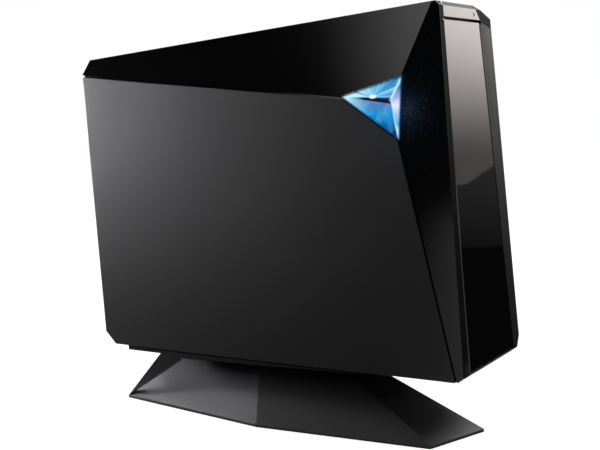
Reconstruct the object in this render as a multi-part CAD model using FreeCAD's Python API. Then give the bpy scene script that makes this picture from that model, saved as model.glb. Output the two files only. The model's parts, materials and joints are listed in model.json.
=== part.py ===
import FreeCAD
import Part

import math
import os

V = FreeCAD.Vector

# External optical disc drive standing on edge in a cut-stone casing, on a
# faceted stand.  Millimetres, +Z up, origin on the floor under the middle.
# X runs across the casing (the crystal key is on -X), the tray comes out
# towards -Y.  The casing and what is in it are drawn from the casing's own
# underside (z = 0) and lifted by STAND_RISE; the drive unit is drawn lying
# flat and then stood on its edge.

# overall casing
DRIVE_W = 146.0            # drive unit, standing on its edge
DRIVE_ROOM = 9.5           # casing below and above the drive unit
CASE_H = DRIVE_W + 2 * DRIVE_ROOM   # underside to roof
DECK_Z = 13.0              # loader deck over the drive unit's floor
WHEEL_RISE = 6.6           # tray gear over the deck
TRAY_RISE = 16.4           # tray's top over the tray gear
COVER_RISE = 5.3           # drive unit's top over the tray
DRIVE_T = DECK_Z + WHEEL_RISE + TRAY_RISE + COVER_RISE
SIDE_ROOM = 8.45           # casing beside the drive unit, on each side
CASE_W = DRIVE_T + 2 * SIDE_ROOM    # across the two side panels
HALF_W = CASE_W / 2
FRONT_Y = -116.0           # front face
REAR_Y = 114.4             # rear edge of the casing halves
STAND_RISE = 32.0          # floor to casing underside

# edges of the cut stone, seen from the side
FRONT_TOP_CUT = (1.5, 2.0)       # chamfer back, down
FRONT_FOOT_CUT = (3.0, 2.24)
REAR_TOP_CUT = (7.1, 7.95)
REAR_FOOT_CUT = (7.6, 6.96)
CREASE_FOOT = 2.96         # side/front-flank crease at the underside, from the front face
APEX = (25.33, CASE_H - 40.74)   # where the creases meet: from the front face, height
CREASE_REAR_H = CASE_H - REAR_TOP_CUT[1]   # side/upper-flank crease at the rear edge
FLANK_LEAN = 0.12          # how fast the front flank leans in, per mm forward
UPPER_LEAN = 0.08          # how fast the upper flank leans in, per mm up
CORNER_CUT = (HALF_W - 18.1, HALF_W - 4.6, CASE_H - 5.5, HALF_W - 2.1, 26.0)   # roof x, front x, front z, flank x, run back
CORNER_START = 2.0         # facet's roof point behind the front face

# casing walls
WALL = 2.2                 # shell thickness
PANEL_T = 1.8              # side panel laid into the shell
PANEL_BED = 1.2            # shell left behind the side panel
GROOVE = 1.2               # dark groove between side panel and flanks
CHEEK = 1.65               # casing edge beside the bezel
FIT = 0.15                 # gap between parts that are pushed together
POST_R = 3.2               # screw posts
REAR_POST_Y = REAR_Y - FRONT_Y - 19.4
POSTS = [(56.0, 5.7), (146.0, 5.7), (REAR_POST_Y, CASE_H - 17.0), (REAR_POST_Y, 16.0)]
PEGS = [(56.0, CASE_H - 5.7), (146.0, CASE_H - 5.7)]   # posts under the roof that only locate
PEG_L = 5.0
SCREW_R = 1.3
SCREW_L = 14.0
SCREW_HEAD = (2.1, 1.6)    # radius, height
SLOT_HALF = 0.3            # half width of a screw slot
HEAD_BORE_R = 2.3
HEAD_DEPTH = 7.0           # screw head above the seam

# front face, seen from the front (x from the middle, z from the underside)
DOOR_LEFT = 7.0 - HALF_W
DOOR_FOOT = 2.9
DOOR_TOP = CASE_H - 7.7
DOOR_RIGHT_FOOT = HALF_W - 6.4
DOOR_RIGHT_TOP = HALF_W - 16.0
DOOR_T = 2.3
DOOR_GAP = 0.35
DOOR_CLEAR = 0.5           # behind the closed door
DOOR_BEVEL = 0.4
STRIP_FOOT = DOOR_TOP + 0.9   # bright strip over the door
STRIP_LEFT = DOOR_LEFT + 0.6
EAR = [(HALF_W - 18.7, CASE_H - 2.1), (HALF_W - 14.2, DOOR_TOP), (HALF_W - 4.9, DOOR_TOP - 2.1)]   # black corner piece on the front
BEZEL_RIM = 3.5            # bezel depth between the cheeks
BEZEL_WALL = 2.0
LAMP = (HALF_W - 21.2, CASE_H - 4.6)
LAMP_R = 0.8

# crystal key on the left side
KEY_REACH = 26.07          # rear corner behind the apex, on the upper crease
KEY_REAR = (APEX[0] + KEY_REACH,   # corners: from the front face, height
            APEX[1] + (CREASE_REAR_H - APEX[1]) * KEY_REACH / (REAR_Y - FRONT_Y - APEX[0]))
KEY_RISE = (6.23, 10.34)    # top corner before and above the apex
KEY_FALL = (3.03, 17.86)    # foot corner before and below it
KEY_TOP = (APEX[0] - KEY_RISE[0], APEX[1] + KEY_RISE[1])
KEY_FOOT = (APEX[0] - KEY_FALL[0], APEX[1] - KEY_FALL[1])
KEY_GAP = 0.5
KEY_TRAVEL = 0.8
KEY_SEAT = SIDE_ROOM - 5.45   # depth of the seat behind the side face
KEY_RIM = 1.5              # flange past the crystal
KEY_FLANGE_T = 1.0
KEY_PLAY = 0.3
SEAT_BORDER = 4.0
KEY_BOARD_T = 1.2
LEAD_W = 6.0
LEAD_T = 0.5
LEAD_END = 12.0            # lead's socket from the bridge board's rear
LEAD_BLOCK = 3.0           # socket of the lead on the bridge board
SWITCH_H = 0.9

# rear panel and bridge board
REAR_PROUD = 1.6           # pad past the casing's rear edge
REAR_SIDE = 4.3            # casing left beside the rear opening
REAR_END = 8.8             # and above and below it
REAR_FLANGE = 2.0
REAR_LAP = 1.0             # flange past the opening
BOARD_T = 1.6
BRIDGE_Z = (46.0, CASE_H - 31.0)
BRIDGE_HOLES = (12.0, 5.0, 4.0)        # from the board's front, rear, foot and top
BRIDGE_CHIP = (14.0, 12.0, 12.0, 1.2)  # from front, from foot, side, height
BRIDGE_COIL = (30.0, 58.0, 8.0, 4.0)
BRIDGE_CANS = (16.0, 50.0, 3.1, 9.0)   # from front, from foot, radius, height
BRIDGE_SCREW_L = 6.5
BRIDGE_SCREW_HEAD = (2.4, 1.4)
BRIDGE_END = 8.0           # bridge board to rear edge
USB_Z = 62.0
USB = (12.0, 11.0, 16.5)   # width, height, depth
DC_Z = 84.0
DC = (9.0, 11.0, 14.0)
VENT_COLUMN = HALF_W - 13.1
VENT = (2.2, VENT_COLUMN - 1.0, 4.6)   # width, length, pitch
VENTS = 6
VENT_DROP = 24.0           # top vent below the roof

# drive unit lying flat: X across, Z up, tray towards -Y
DRIVE_FRONT = 8.0          # behind the front face
REAR_ROOM = 54.4           # drive unit to the casing's rear edge
DRIVE_L = REAR_Y - FRONT_Y - DRIVE_FRONT - REAR_ROOM
SHEET = 0.8
FRAME_GAP = 0.2
COVER_SKIRT = 10.0
COVER_RING = (24.0, 21.0, 0.3)       # pressed ring over the clamp: radii, depth
COVER_RIBS = (46.0, 3.0, 40.0, 70.0)   # place, half width, run before and behind the disc centre
FRAME_WALL = 4.0
DECK_T = 2.0
LIP_T = 0.8
LIP_REACH = 4.0

# tray
TRAY_W = DRIVE_W - 16.0
TRAY_T = 14.0
TRAY_TOP = DRIVE_T - COVER_RISE
RAIL_Z = TRAY_TOP - 16.6
TRAY_NOSE = 6.0            # tray front behind the front face
TRAY_L = DRIVE_L - 6.0
TRAY_FLOOR = 1.5
TRAY_SKIRT = 2.5
TRAY_PLAY = 0.4
DISC_Y = 74.0              # disc centre behind the front face
DISC_R = TRAY_W / 2 - 4.5
DISC_DEPTH = 3.5
MINI_R = DISC_R - 20.0
MINI_DEPTH = 1.0
SLOT_W = 44.0

# tray gearing
RACK_X = 31.0              # pitch line
RACK_T = 4.0
RACK_H = 5.5
PINION_M = 1.0
PINION_N = 14
WHEEL_M = 0.8
WHEEL_N = 30
DRIVER_N = 12
BACKLASH = 0.25
PINION_Y = 24.0            # behind the front face
TRAIN_TURN = 191.0         # direction from pinion to pulley gear, degrees
GEAR_BORE = 1.5
AXLE_PLAY = 0.05
WHEEL_Z = DECK_Z + WHEEL_RISE
WHEEL_T = 2.4
PULLEY_R = 10.0
PULLEY_T = 3.0
PULLEY_Z = WHEEL_Z - 4.0
MOTOR_PULLEY_R = 3.2
MOTOR_X = -20.0
BELT = 1.0
BELT_SINK = 0.8            # belt centre below the pulley rim
BELT_PLAY = 0.3
MOTOR_R = 10.0
MOTOR_H = DECK_Z - 2.5

# traverse with spindle and pickup
PIVOT_Y = DRIVE_L - 6.0    # behind the front face
PIVOT_Z = DECK_Z + 4.0
PIVOT_R = 2.0
DROP = 3.5                 # degrees
TRAV_X = (-35.0, 38.0)
TRAV_Y = (39.0, PIVOT_Y - 4.0)   # behind the front face
TRAV_Z = (DECK_Z, DECK_Z + 7.0)
TRAV_WINDOW = (-27.5, 34.2, 85.0, PIVOT_Y - 14.0)
CAM_PIN_R = 1.6
CAM_PINS = (-18.0, 18.0)
CAM_PIN_Z = DECK_Z + 3.0
CAM_SHIFT = 20.0
CAM_T = 2.7
CAM_Y = 32.5               # slider front behind the front face
CAM_Z = (DECK_Z - 7.6, DECK_Z + 5.9)
CAM_HALF = 40.0
CAM_PLAY = 0.4
PLATTER_R = 15.0
PLATTER_TOP = TRAY_TOP - 2.4
HUB_R = 7.4
HUB_H = 1.7
ROTOR_R = 13.0
ROTOR_Z = DECK_Z + 9.2
ROTOR_WALL = 0.8
ROTOR_PLAY = 0.7
DISC_T = 1.3
PUCK_R = 15.0
PUCK_NECK_R = 10.0
BRIDGE_HOLE_R = 11.5
CLAMP_T = 1.0
CLAMP_W = 32.0
CLAMP_RING_R = 21.0        # round middle of the clamp strip
ROD_R = 1.5
ROD_X = 23.0
ROD_Z = DECK_Z + 4.5
SCREW_X = 31.0
LEAD_R = 1.5
SLED_Y = 97.0              # lens behind the front face
SLED_Z = (DECK_Z + 1.6, DECK_Z + 9.0)
SLED_RUN = (-9.0, 12.0)    # sled before and behind the lens
LENS_TOP = TRAY_TOP - 5.0
SLED_MOTOR_R = 4.6
SLED_MOTOR_L = 10.5        # leaves the sled clear of it at the stop
SPINDLE_PLATE = (17.0, 17.0, 11.5)   # half width, before and behind the disc centre
LENS_R = 3.5
LENS_SEAT = 2.4            # depth of the lens in its carrier

# drive board
PCB_Z = 3.0
PCB_T = 1.4
PCB_HALF = DRIVE_W / 2 - 8.0
PCB_Y = (40.0, DRIVE_FRONT + DRIVE_L - 3.0)   # behind the front face
SATA = (42.0, 4.6, 8.0)    # width, height, length
SATA_X = 12.0
MOUNT_X = 38.0             # drive mounting screws
MOUNT_Y = (70.0, DRIVE_L - 18.0)   # behind the front face
MOUNT_R = 1.45
MOUNT_HEAD = (2.8, 1.0)
MOUNT_BOSS_R = 4.5

# stand
LIP_H = 2.4                # floor to the top of the base's lip
FOOT_GAP = 1.0             # floor to base underside
NOSE_Y = 109.5             # tip, forward of the middle
FRONT_CORNER = (29.6, 97.6)
WAIST = (38.5, 4.5)
REAR_CORNER = (28.6, 100.2)
CUT_CORNER = (30.0, 58.0)  # right front corner
NOSE_SLOPE = 21.95         # degrees
FLANK_SLOPE = 43.7
REAR_FLANK_SLOPE = 47.2
TAIL_SLOPE = 33.55
CUT_SLOPE = 40.0
BASE_WALL = 2.6
CRADLE_HALF = HALF_W - 0.5
CRADLE_Y = (-66.0, 96.5)
CRADLE_FRONT_T = 0.9
CRADLE_MID_T = 4.1
CRADLE_MID_Y = 56.2
CRADLE_REAR_T = 2.6
CHEEK_T = 2.0
CHEEK_FOOT = 1.4           # cheek's front end below the skirt
CHEEK_TOP_Y = 70.5
CRADLE_PAD = (10.0, 33.0)  # middle pad on the base: half width, how far forward
BALLAST_T = 4.0
BALLAST_GAP = 0.4
FEET = [(-17.0, 80.0), (17.0, 80.0), (-15.0, -70.0), (11.0, -70.0)]
FOOT_R = 5.0
FOOT_H = 2.0
STAND_SCREWS = [(0.0, -24.0), (0.0, 40.0)]
STAND_SCREW_R = 1.5
STAND_SCREW_HEAD = (2.8, 1.8)
STAND_SCREW_TOP = 1.0      # screw tip below the cradle's top

# places worked out from the sizes above
MID_Z = CASE_H / 2
DRIVE_TOP_X = -DRIVE_T / 2
SIDE_IN = PANEL_T + PANEL_BED
TRAY_X = TRAY_W / 2
DISC = FRONT_Y + DISC_Y
BIG = 600.0


def box(x0, x1, y0, y1, z0, z1):
    return Part.makeBox(x1 - x0, y1 - y0, z1 - z0, V(x0, y0, z0))


def rod(x, y, z, r, h, axis=V(0, 0, 1)):
    return Part.makeCylinder(r, h, V(x, y, z), axis)


def post_bar(x, y, z, r, h):
    """Eight-sided moulded post along X."""
    ring = [(y + r * math.cos(a), z + r * math.sin(a)) for a in [math.pi * (i + 0.5) / 4 for i in range(8)]]
    return slab_x(ring, x, x + h)


def sheet(points):
    return Part.Face(Part.makePolygon([V(*p) for p in points + points[:1]]))


def slab_x(points, x0, x1):
    return sheet([(x0, y, z) for y, z in points]).extrude(V(x1 - x0, 0, 0))


def slab_y(points, y0, y1):
    return sheet([(x, y0, z) for x, z in points]).extrude(V(0, y1 - y0, 0))


def slab_z(points, z0, z1):
    return sheet([(x, y, z0) for x, y in points]).extrude(V(0, 0, z1 - z0))


def beyond(point, normal, reach=BIG):
    """Everything on the outer side of a plane, as a large block."""
    n = V(*normal).normalize()
    block = Part.makeBox(2 * reach, 2 * reach, reach, V(-reach, -reach, 0))
    block.Placement = FreeCAD.Placement(V(*point), FreeCAD.Rotation(V(0, 0, 1), n))
    return block


def joined(parts):
    shape = parts[0]
    for other in parts[1:]:
        shape = shape.fuse(other)
    return shape.removeSplitter()


def mirrored(shape):
    return shape.mirror(V(0, 0, 0), V(1, 0, 0))


def grown(points, by):
    """A convex outline pushed outwards by a constant distance."""
    wire = Part.makePolygon([V(a, b, 0) for a, b in points + points[:1]])
    return [(v.X, v.Y) for v in wire.makeOffset2D(by, 2).OrderedVertexes]


# cut stone

def crease_y(z):
    """Front flank crease on the side face at a height."""
    foot = FRONT_Y + CREASE_FOOT
    return foot + (FRONT_Y + APEX[0] - foot) * z / APEX[1]


def crease_z(y):
    """Upper flank crease on the side face at a depth."""
    apex_y = FRONT_Y + APEX[0]
    return CREASE_REAR_H + (APEX[1] - CREASE_REAR_H) * (y - REAR_Y) / (apex_y - REAR_Y)


def flank_cut(inset):
    """Left front flank: leans inwards from its crease towards the front."""
    slope = crease_y(1.0) - crease_y(0.0)
    n = V(-1, -FLANK_LEAN, FLANK_LEAN * slope).normalize()
    p = V(-HALF_W, crease_y(0.0), 0) - n * inset
    return beyond(tuple(p), tuple(n))


def upper_cut(inset):
    """Left upper flank: leans inwards from its crease towards the roof."""
    slope = (crease_z(1.0) - crease_z(0.0))
    n = V(-1, -UPPER_LEAN * slope, UPPER_LEAN).normalize()
    p = V(-HALF_W, 0, crease_z(0.0)) - n * inset
    return beyond(tuple(p), tuple(n))


def corner_cut(inset):
    """The single facet that cuts off the top right corner of the front."""
    x_roof, x_front, z_front, x_flank, run = CORNER_CUT
    a = V(x_roof, FRONT_Y + CORNER_START, CASE_H)
    b = V(x_front, FRONT_Y, z_front)
    c = V(x_flank, FRONT_Y + run, CASE_H)
    n = (b - a).cross(c - a).normalize()
    if n.z < 0:
        n = n * -1
    return beyond(tuple(a - n * inset), tuple(n))


def side_outline(inset=0.0):
    """Side view of the stone with its four edge chamfers."""
    ft, fd = FRONT_TOP_CUT
    bt, bd = FRONT_FOOT_CUT
    rt, rd = REAR_TOP_CUT
    st, sd = REAR_FOOT_CUT
    points = [(FRONT_Y, bd), (FRONT_Y + bt, 0), (REAR_Y - st, 0), (REAR_Y, sd),
              (REAR_Y, CASE_H - rd), (REAR_Y - rt, CASE_H), (FRONT_Y + ft, CASE_H),
              (FRONT_Y, CASE_H - fd)]
    return grown(points, -inset) if inset else points


def stone(inset=0.0, side=None):
    """The casing's outer form, or the same form with every face moved in."""
    side = inset if side is None else side
    half = HALF_W - side
    shape = slab_x(side_outline(inset), -half, half)
    left = [flank_cut(inset), upper_cut(inset)]
    return shape.cut(left + [mirrored(c) for c in left] + [corner_cut(inset)])


def panel_outline(groove):
    """Side panel in side view: bounded by the creases, rear edge and foot."""
    st, sd = REAR_FOOT_CUT
    apex = (FRONT_Y + APEX[0], APEX[1])
    foot_y = FRONT_Y + CREASE_FOOT
    up = V(apex[0] - foot_y, apex[1], 0).normalize()
    back = V(REAR_Y - apex[0], CREASE_REAR_H - apex[1], 0).normalize()
    foot_in = foot_y + groove / up.y
    rear_in = CREASE_REAR_H - groove / back.x
    k_up = up.x / up.y
    k_back = back.y / back.x
    apex_y = (foot_in + k_up * (rear_in - k_back * REAR_Y)) / (1 - k_up * k_back)
    apex_z = rear_in + k_back * (apex_y - REAR_Y)
    return [(foot_in, 0), (REAR_Y - st, 0), (REAR_Y, sd), (REAR_Y, rear_in), (apex_y, apex_z)]


def key_outline(by=0.0):
    corners = [(FRONT_Y + y, z) for y, z in (KEY_REAR, KEY_TOP, KEY_FOOT)]
    return grown(corners, by) if by else corners


def ear_outline():
    """Black corner piece on the front, seen from the front."""
    return EAR + [(HALF_W, EAR[2][1]), (HALF_W, CASE_H + 1), (EAR[0][0] - 1.6, CASE_H + 1)]


def post_places():
    return [(FRONT_Y + y, z) for y, z in POSTS]


def peg_places():
    return [(FRONT_Y + y, z) for y, z in PEGS]


def mouth():
    """Space between the cheeks that the bezel fills, open to roof and foot."""
    y1 = FRONT_Y + BEZEL_RIM
    room = box(-HALF_W, HALF_W, FRONT_Y - 1, y1, -1, CASE_H + 1)
    left = [flank_cut(CHEEK), upper_cut(CHEEK)]
    return room.cut(left + [mirrored(c) for c in left])


def casing_half(side):
    """One half shell: side -1 is the left half with the key, +1 the right."""
    shell = stone().cut(stone(WALL, SIDE_IN))
    shell = shell.cut(mouth())
    x_in = HALF_W - PANEL_T
    bed = slab_x(panel_outline(0.0), -HALF_W - 1, -x_in)
    shell = shell.cut([bed, mirrored(bed)])
    shell = shell.cut(rear_opening(0.0))
    if side > 0:
        ear = slab_y(ear_outline(), FRONT_Y, FRONT_Y + BEZEL_RIM)
        shell = shell.fuse(ear.common(stone()))
    x_wall = HALF_W - SIDE_IN
    keep = stone(WALL / 2, PANEL_T)
    for y, z in post_places() + peg_places():
        post = post_bar(-x_wall - PANEL_BED, y, z, POST_R, 2 * (x_wall + PANEL_BED))
        shell = shell.fuse(post.common(keep))
    for y, z in mount_places():
        boss = post_bar(-DRIVE_TOP_X, y, z, MOUNT_BOSS_R, x_wall + DRIVE_TOP_X + 0.5)
        shell = shell.fuse(boss)
    for y, z in bridge_holes():
        x0 = bridge_x() + BOARD_T
        shell = shell.fuse(post_bar(x0, y, z, POST_R, x_wall - x0 + 0.5))
    half = box(-HALF_W, 0, FRONT_Y - 1, REAR_Y + 1, -1, CASE_H + 1)
    if side > 0:
        half = mirrored(half)
    shell = shell.common(half)
    x_head = HEAD_DEPTH
    for y, z in post_places():
        if side > 0:
            shell = shell.cut(rod(x_head, y, z, HEAD_BORE_R, HALF_W, V(1, 0, 0)))
            shell = shell.cut(rod(-1, y, z, SCREW_R + 0.1, HALF_W, V(1, 0, 0)))
        else:
            depth = SCREW_L - HEAD_DEPTH + 1
            shell = shell.cut(rod(-depth, y, z, SCREW_R, depth + 1, V(1, 0, 0)))
    for y, z in peg_places():
        if side > 0:
            shell = shell.cut(rod(-1, y, z, SCREW_R + AXLE_PLAY, PEG_L + 2, V(1, 0, 0)))
        else:
            shell = shell.fuse(rod(-1, y, z, SCREW_R, PEG_L + 1, V(1, 0, 0)))
    if side > 0:
        for y, z in mount_places():
            shell = shell.cut(rod(-DRIVE_TOP_X - 1, y, z, MOUNT_R + 0.15, HALF_W, V(1, 0, 0)))
            head_x = x_in - MOUNT_HEAD[1]
            shell = shell.cut(rod(head_x, y, z, MOUNT_HEAD[0] + 0.2, HALF_W, V(1, 0, 0)))
        for y, z in bridge_holes():
            x0 = bridge_x() + BOARD_T
            shell = shell.cut(rod(x0 - 1, y, z, SCREW_R, BRIDGE_SCREW_L + 0.5, V(1, 0, 0)))
    if side < 0:
        seat_x = -HALF_W + KEY_SEAT
        seat = slab_x(key_outline(SEAT_BORDER), -HALF_W, seat_x)
        shell = shell.fuse(seat.common(stone(WALL / 2, PANEL_T)))
        shell = shell.cut(slab_x(key_outline(SEAT_BORDER + FIT), seat_x, 0))
        shell = shell.cut(slab_x(key_outline(KEY_GAP), -HALF_W - 1, seat_x + 1))
    return shell.removeSplitter()


def side_panel():
    """Left satin panel, set flush in its bed."""
    x_in = HALF_W - PANEL_T
    panel = slab_x(panel_outline(GROOVE), -HALF_W, -x_in)
    return panel.cut(slab_x(key_outline(KEY_GAP), -HALF_W - 1, -x_in + 1))


def side_panel_right():
    return mirrored(slab_x(panel_outline(GROOVE), -HALF_W, -HALF_W + PANEL_T))


def casing_screws():
    """Four screws through the right posts into the left ones."""
    screws = []
    for y, z in post_places():
        shank = rod(HEAD_DEPTH - SCREW_L, y, z, SCREW_R - 0.05, SCREW_L, V(1, 0, 0))
        head = rod(HEAD_DEPTH, y, z, SCREW_HEAD[0], SCREW_HEAD[1], V(1, 0, 0))
        slot = box(HEAD_DEPTH + SCREW_HEAD[1] / 2, HEAD_DEPTH + 2, y - SCREW_HEAD[0], y + SCREW_HEAD[0], z - SLOT_HALF, z + SLOT_HALF)
        screws.append(shank.fuse(head).cut(slot))
    return Part.makeCompound(screws)


# front face

def door_outline(gap=0.0):
    """Door seen from the front: upright left edge, leaning right edge."""
    points = [(DOOR_LEFT, DOOR_FOOT), (DOOR_RIGHT_FOOT, DOOR_FOOT),
              (DOOR_RIGHT_TOP, DOOR_TOP), (DOOR_LEFT, DOOR_TOP)]
    return grown(points, gap) if gap else points


def strip_outline():
    lean = (EAR[1][0] - EAR[0][0]) / (EAR[0][1] - EAR[1][1])
    top = CASE_H + 1
    right_foot = EAR[0][0] + lean * (EAR[0][1] - STRIP_FOOT) - FIT
    right_top = EAR[0][0] - lean * (top - EAR[0][1]) - FIT
    return [(STRIP_LEFT, STRIP_FOOT), (right_foot, STRIP_FOOT), (right_top, top), (STRIP_LEFT, top)]


def tray_window(gap):
    """Where the tray's nose passes the bezel: x and z limits."""
    x0 = -DRIVE_TOP_X - TRAY_TOP - gap
    x1 = -DRIVE_TOP_X - (TRAY_TOP - TRAY_T) + gap
    z0 = MID_Z - TRAY_X - gap
    z1 = MID_Z + TRAY_X + gap
    return x0, x1, z0, z1


def front_bezel():
    """Frame round the door: rims between the cheeks and a wall behind."""
    y_wall = FRONT_Y + DOOR_T + DOOR_CLEAR
    room = box(-HALF_W, HALF_W, FRONT_Y, FRONT_Y + BEZEL_RIM - FIT, 0, CASE_H)
    left = [flank_cut(CHEEK + FIT), upper_cut(CHEEK + FIT)]
    rim = stone().common(room).cut(left + [mirrored(c) for c in left])
    rim = rim.cut(slab_y(door_outline(DOOR_GAP), FRONT_Y - 1, y_wall))
    x0 = STRIP_LEFT - 0.05
    over = box(x0, EAR[1][0], FRONT_Y - 1, y_wall, DOOR_TOP - 1, CASE_H + 1)
    rim = rim.cut(over)
    ear = slab_y(grown(ear_outline(), FIT), FRONT_Y - 1, FRONT_Y + BEZEL_RIM + FIT)
    wall = box(-HALF_W, HALF_W, y_wall, y_wall + BEZEL_WALL, 0, CASE_H)
    wall = wall.common(stone(WALL + FIT, SIDE_IN + FIT))
    bezel = rim.fuse(wall).cut(ear)
    wx0, wx1, wz0, wz1 = tray_window(0.6)
    window = box(wx0, wx1, y_wall - 1, y_wall + BEZEL_WALL + 1, wz0, wz1)
    lamp = rod(LAMP[0], FRONT_Y - 1, LAMP[1], LAMP_R, 9, V(0, 1, 0))
    return bezel.cut([window, lamp]).removeSplitter()


def top_strip():
    """Bright strip over the door, with the lamp hole."""
    y_wall = FRONT_Y + DOOR_T + DOOR_CLEAR
    strip = slab_y(strip_outline(), FRONT_Y - 1, y_wall).common(stone())
    return strip.cut(rod(LAMP[0], FRONT_Y - 1, LAMP[1], LAMP_R, 9, V(0, 1, 0)))


def lamp_pipe():
    """Light pipe of the activity lamp, set in the strip's hole."""
    y0 = FRONT_Y + 0.3
    y1 = FRONT_Y + DOOR_T + DOOR_CLEAR + BEZEL_WALL
    pipe = rod(LAMP[0], y0, LAMP[1], LAMP_R - 0.05, y1 - y0, V(0, 1, 0))
    return pipe.fuse(rod(LAMP[0], y1, LAMP[1], LAMP_R + 0.5, 1.2, V(0, 1, 0)))


def door_panel():
    """Door plate with a fine bevel round its front edge."""
    plate = slab_y(door_outline(), FRONT_Y, FRONT_Y + DOOR_T)
    edges = [e for e in plate.Edges if e.BoundBox.YMax < FRONT_Y + 0.01]
    return plate.makeChamfer(DOOR_BEVEL, edges)


def door_carrier():
    """Block through the bezel wall that holds the door to the tray."""
    x0, x1, z0, z1 = tray_window(0.0)
    y0 = FRONT_Y + DOOR_T
    y1 = FRONT_Y + TRAY_NOSE
    block = box(x0, x1, y0, y1, z0, z1)
    pocket_w = (z1 - z0) / 5
    for i in range(4):
        za = z0 + 3 + i * (pocket_w + 1.5) * 1.2
        block = block.cut(box(x0 + 3, x1 - 3, y0 + 1.2, y1 + 1, za, za + pocket_w))
    return block


# crystal key

def eject_key():
    """Clear faceted key: three facets that carry on the stone's faces."""
    seat_x = -HALF_W + KEY_SEAT
    gem = slab_x(key_outline(), -HALF_W, seat_x + KEY_PLAY).common(stone())
    flange = slab_x(key_outline(KEY_RIM), seat_x + KEY_PLAY, seat_x + KEY_PLAY + KEY_FLANGE_T)
    return gem.fuse(flange).removeSplitter()


def key_board_x():
    seat_x = -HALF_W + KEY_SEAT
    return seat_x + KEY_PLAY + KEY_FLANGE_T + KEY_TRAVEL + KEY_PLAY + SWITCH_H


def key_frame():
    """Ring behind the seat that guides the key's flange."""
    seat_x = -HALF_W + KEY_SEAT
    ring = slab_x(key_outline(SEAT_BORDER), seat_x, key_board_x())
    ring = ring.common(stone(WALL / 2, PANEL_T))
    return ring.cut(slab_x(key_outline(KEY_RIM + KEY_GAP), seat_x - 1, HALF_W))


def key_middle():
    pts = key_outline()
    return sum(p[0] for p in pts) / 3, sum(p[1] for p in pts) / 3


def key_board():
    """Small board with the push switch and three lamps."""
    x0 = key_board_x()
    y, z = key_middle()
    board = slab_x(key_outline(SEAT_BORDER), x0, x0 + KEY_BOARD_T)
    switch = box(x0 - SWITCH_H + 0.3, x0, y - 2.2, y + 2.2, z - 2.2, z + 2.2)
    plunger = rod(x0 - SWITCH_H, y, z, 1.2, SWITCH_H, V(1, 0, 0))
    parts = [board, switch, plunger]
    for py, pz in key_outline():
        ly = y + (py - y) * 0.5
        lz = z + (pz - z) * 0.5
        parts.append(box(x0 - 0.7, x0, ly - 1.2, ly + 1.2, lz - 0.8, lz + 0.8))
    return joined(parts)


def key_lead():
    """Flat lead from the key board along the left wall to the bridge board."""
    y0 = FRONT_Y + KEY_REAR[0] + LEAD_W / 2
    z0 = KEY_REAR[1] - LEAD_W - 3.0
    x_key = key_board_x() + KEY_BOARD_T + LEAD_T / 2
    x_wall = -HALF_W + SIDE_IN + LEAD_T / 2
    y_turn = FRONT_Y + DRIVE_FRONT + DRIVE_L + LEAD_W
    x_end = bridge_x() - LEAD_BLOCK - LEAD_T
    y_end = lead_end_y()
    path = [(x_key, y0 - 3), (x_key, y0 + 3), (x_wall, y0 + 12), (x_wall, y_turn)]
    path += [(x_end - LEAD_W, y_end), (x_end, y_end)]
    wire = Part.makePolygon([V(x, y, z0) for x, y in path])
    ring = wire.makeOffset2D(LEAD_T / 2, 2, False, False)
    return Part.Face(ring).extrude(V(0, 0, LEAD_W))


def lead_end_y():
    return REAR_Y - BRIDGE_END - LEAD_END


# rear

def rear_opening(gap):
    x = HALF_W - REAR_SIDE - gap
    return box(-x, x, REAR_Y - WALL - 1, REAR_Y + 5, REAR_END + gap, CASE_H - REAR_END - gap)


def rear_panel():
    """Rear panel: pad through the casing's opening, flange behind it."""
    pad = rear_opening(FIT)
    pad = pad.common(box(-HALF_W, HALF_W, REAR_Y - WALL - 0.5, REAR_Y + REAR_PROUD, 0, CASE_H))
    edges = [e for e in pad.Edges if e.BoundBox.YMin > REAR_Y + REAR_PROUD - 0.01]
    pad = pad.makeChamfer(0.5, edges)
    x = HALF_W - REAR_SIDE + REAR_LAP
    y1 = REAR_Y - WALL
    flange = box(-x, x, y1 - REAR_FLANGE, y1, REAR_END - REAR_LAP, CASE_H - REAR_END + REAR_LAP)
    flange = flange.common(stone(WALL + 0.05, SIDE_IN + 0.05))
    panel = pad.fuse(flange)
    cuts = []
    xb = bridge_x()
    w, h, d = USB
    cuts.append(box(xb - h - FIT, xb + 1.0, y1 - 9, BIG, USB_Z - w / 2 - FIT, USB_Z + w / 2 + FIT))
    w, h, d = DC
    cuts.append(box(xb - h - FIT, xb + 1.0, y1 - 9, BIG, DC_Z - w / 2 - FIT, DC_Z + w / 2 + FIT))
    vw, vl, vp = VENT
    for col in (-1, 0, 1):
        for i in range(VENTS):
            z = CASE_H - VENT_DROP - i * vp
            x = col * VENT_COLUMN
            cuts.append(box(x - (vl - 1) / 2, x + (vl - 1) / 2, y1 - 9, BIG, z, z + vw))
    return panel.cut(cuts)


def bridge_x():
    """Left face of the bridge board, in line with the drive's connector."""
    return -DRIVE_TOP_X - PCB_Z - PCB_T


def bridge_span():
    y0 = FRONT_Y + DRIVE_FRONT + DRIVE_L + 1.0
    return y0, REAR_Y - BRIDGE_END


def bridge_holes():
    y0, y1 = bridge_span()
    z0, z1 = BRIDGE_Z
    front, rear, end = BRIDGE_HOLES
    return [(y, z) for y in (y0 + front, y1 - rear) for z in (z0 + end, z1 - end)]


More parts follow.
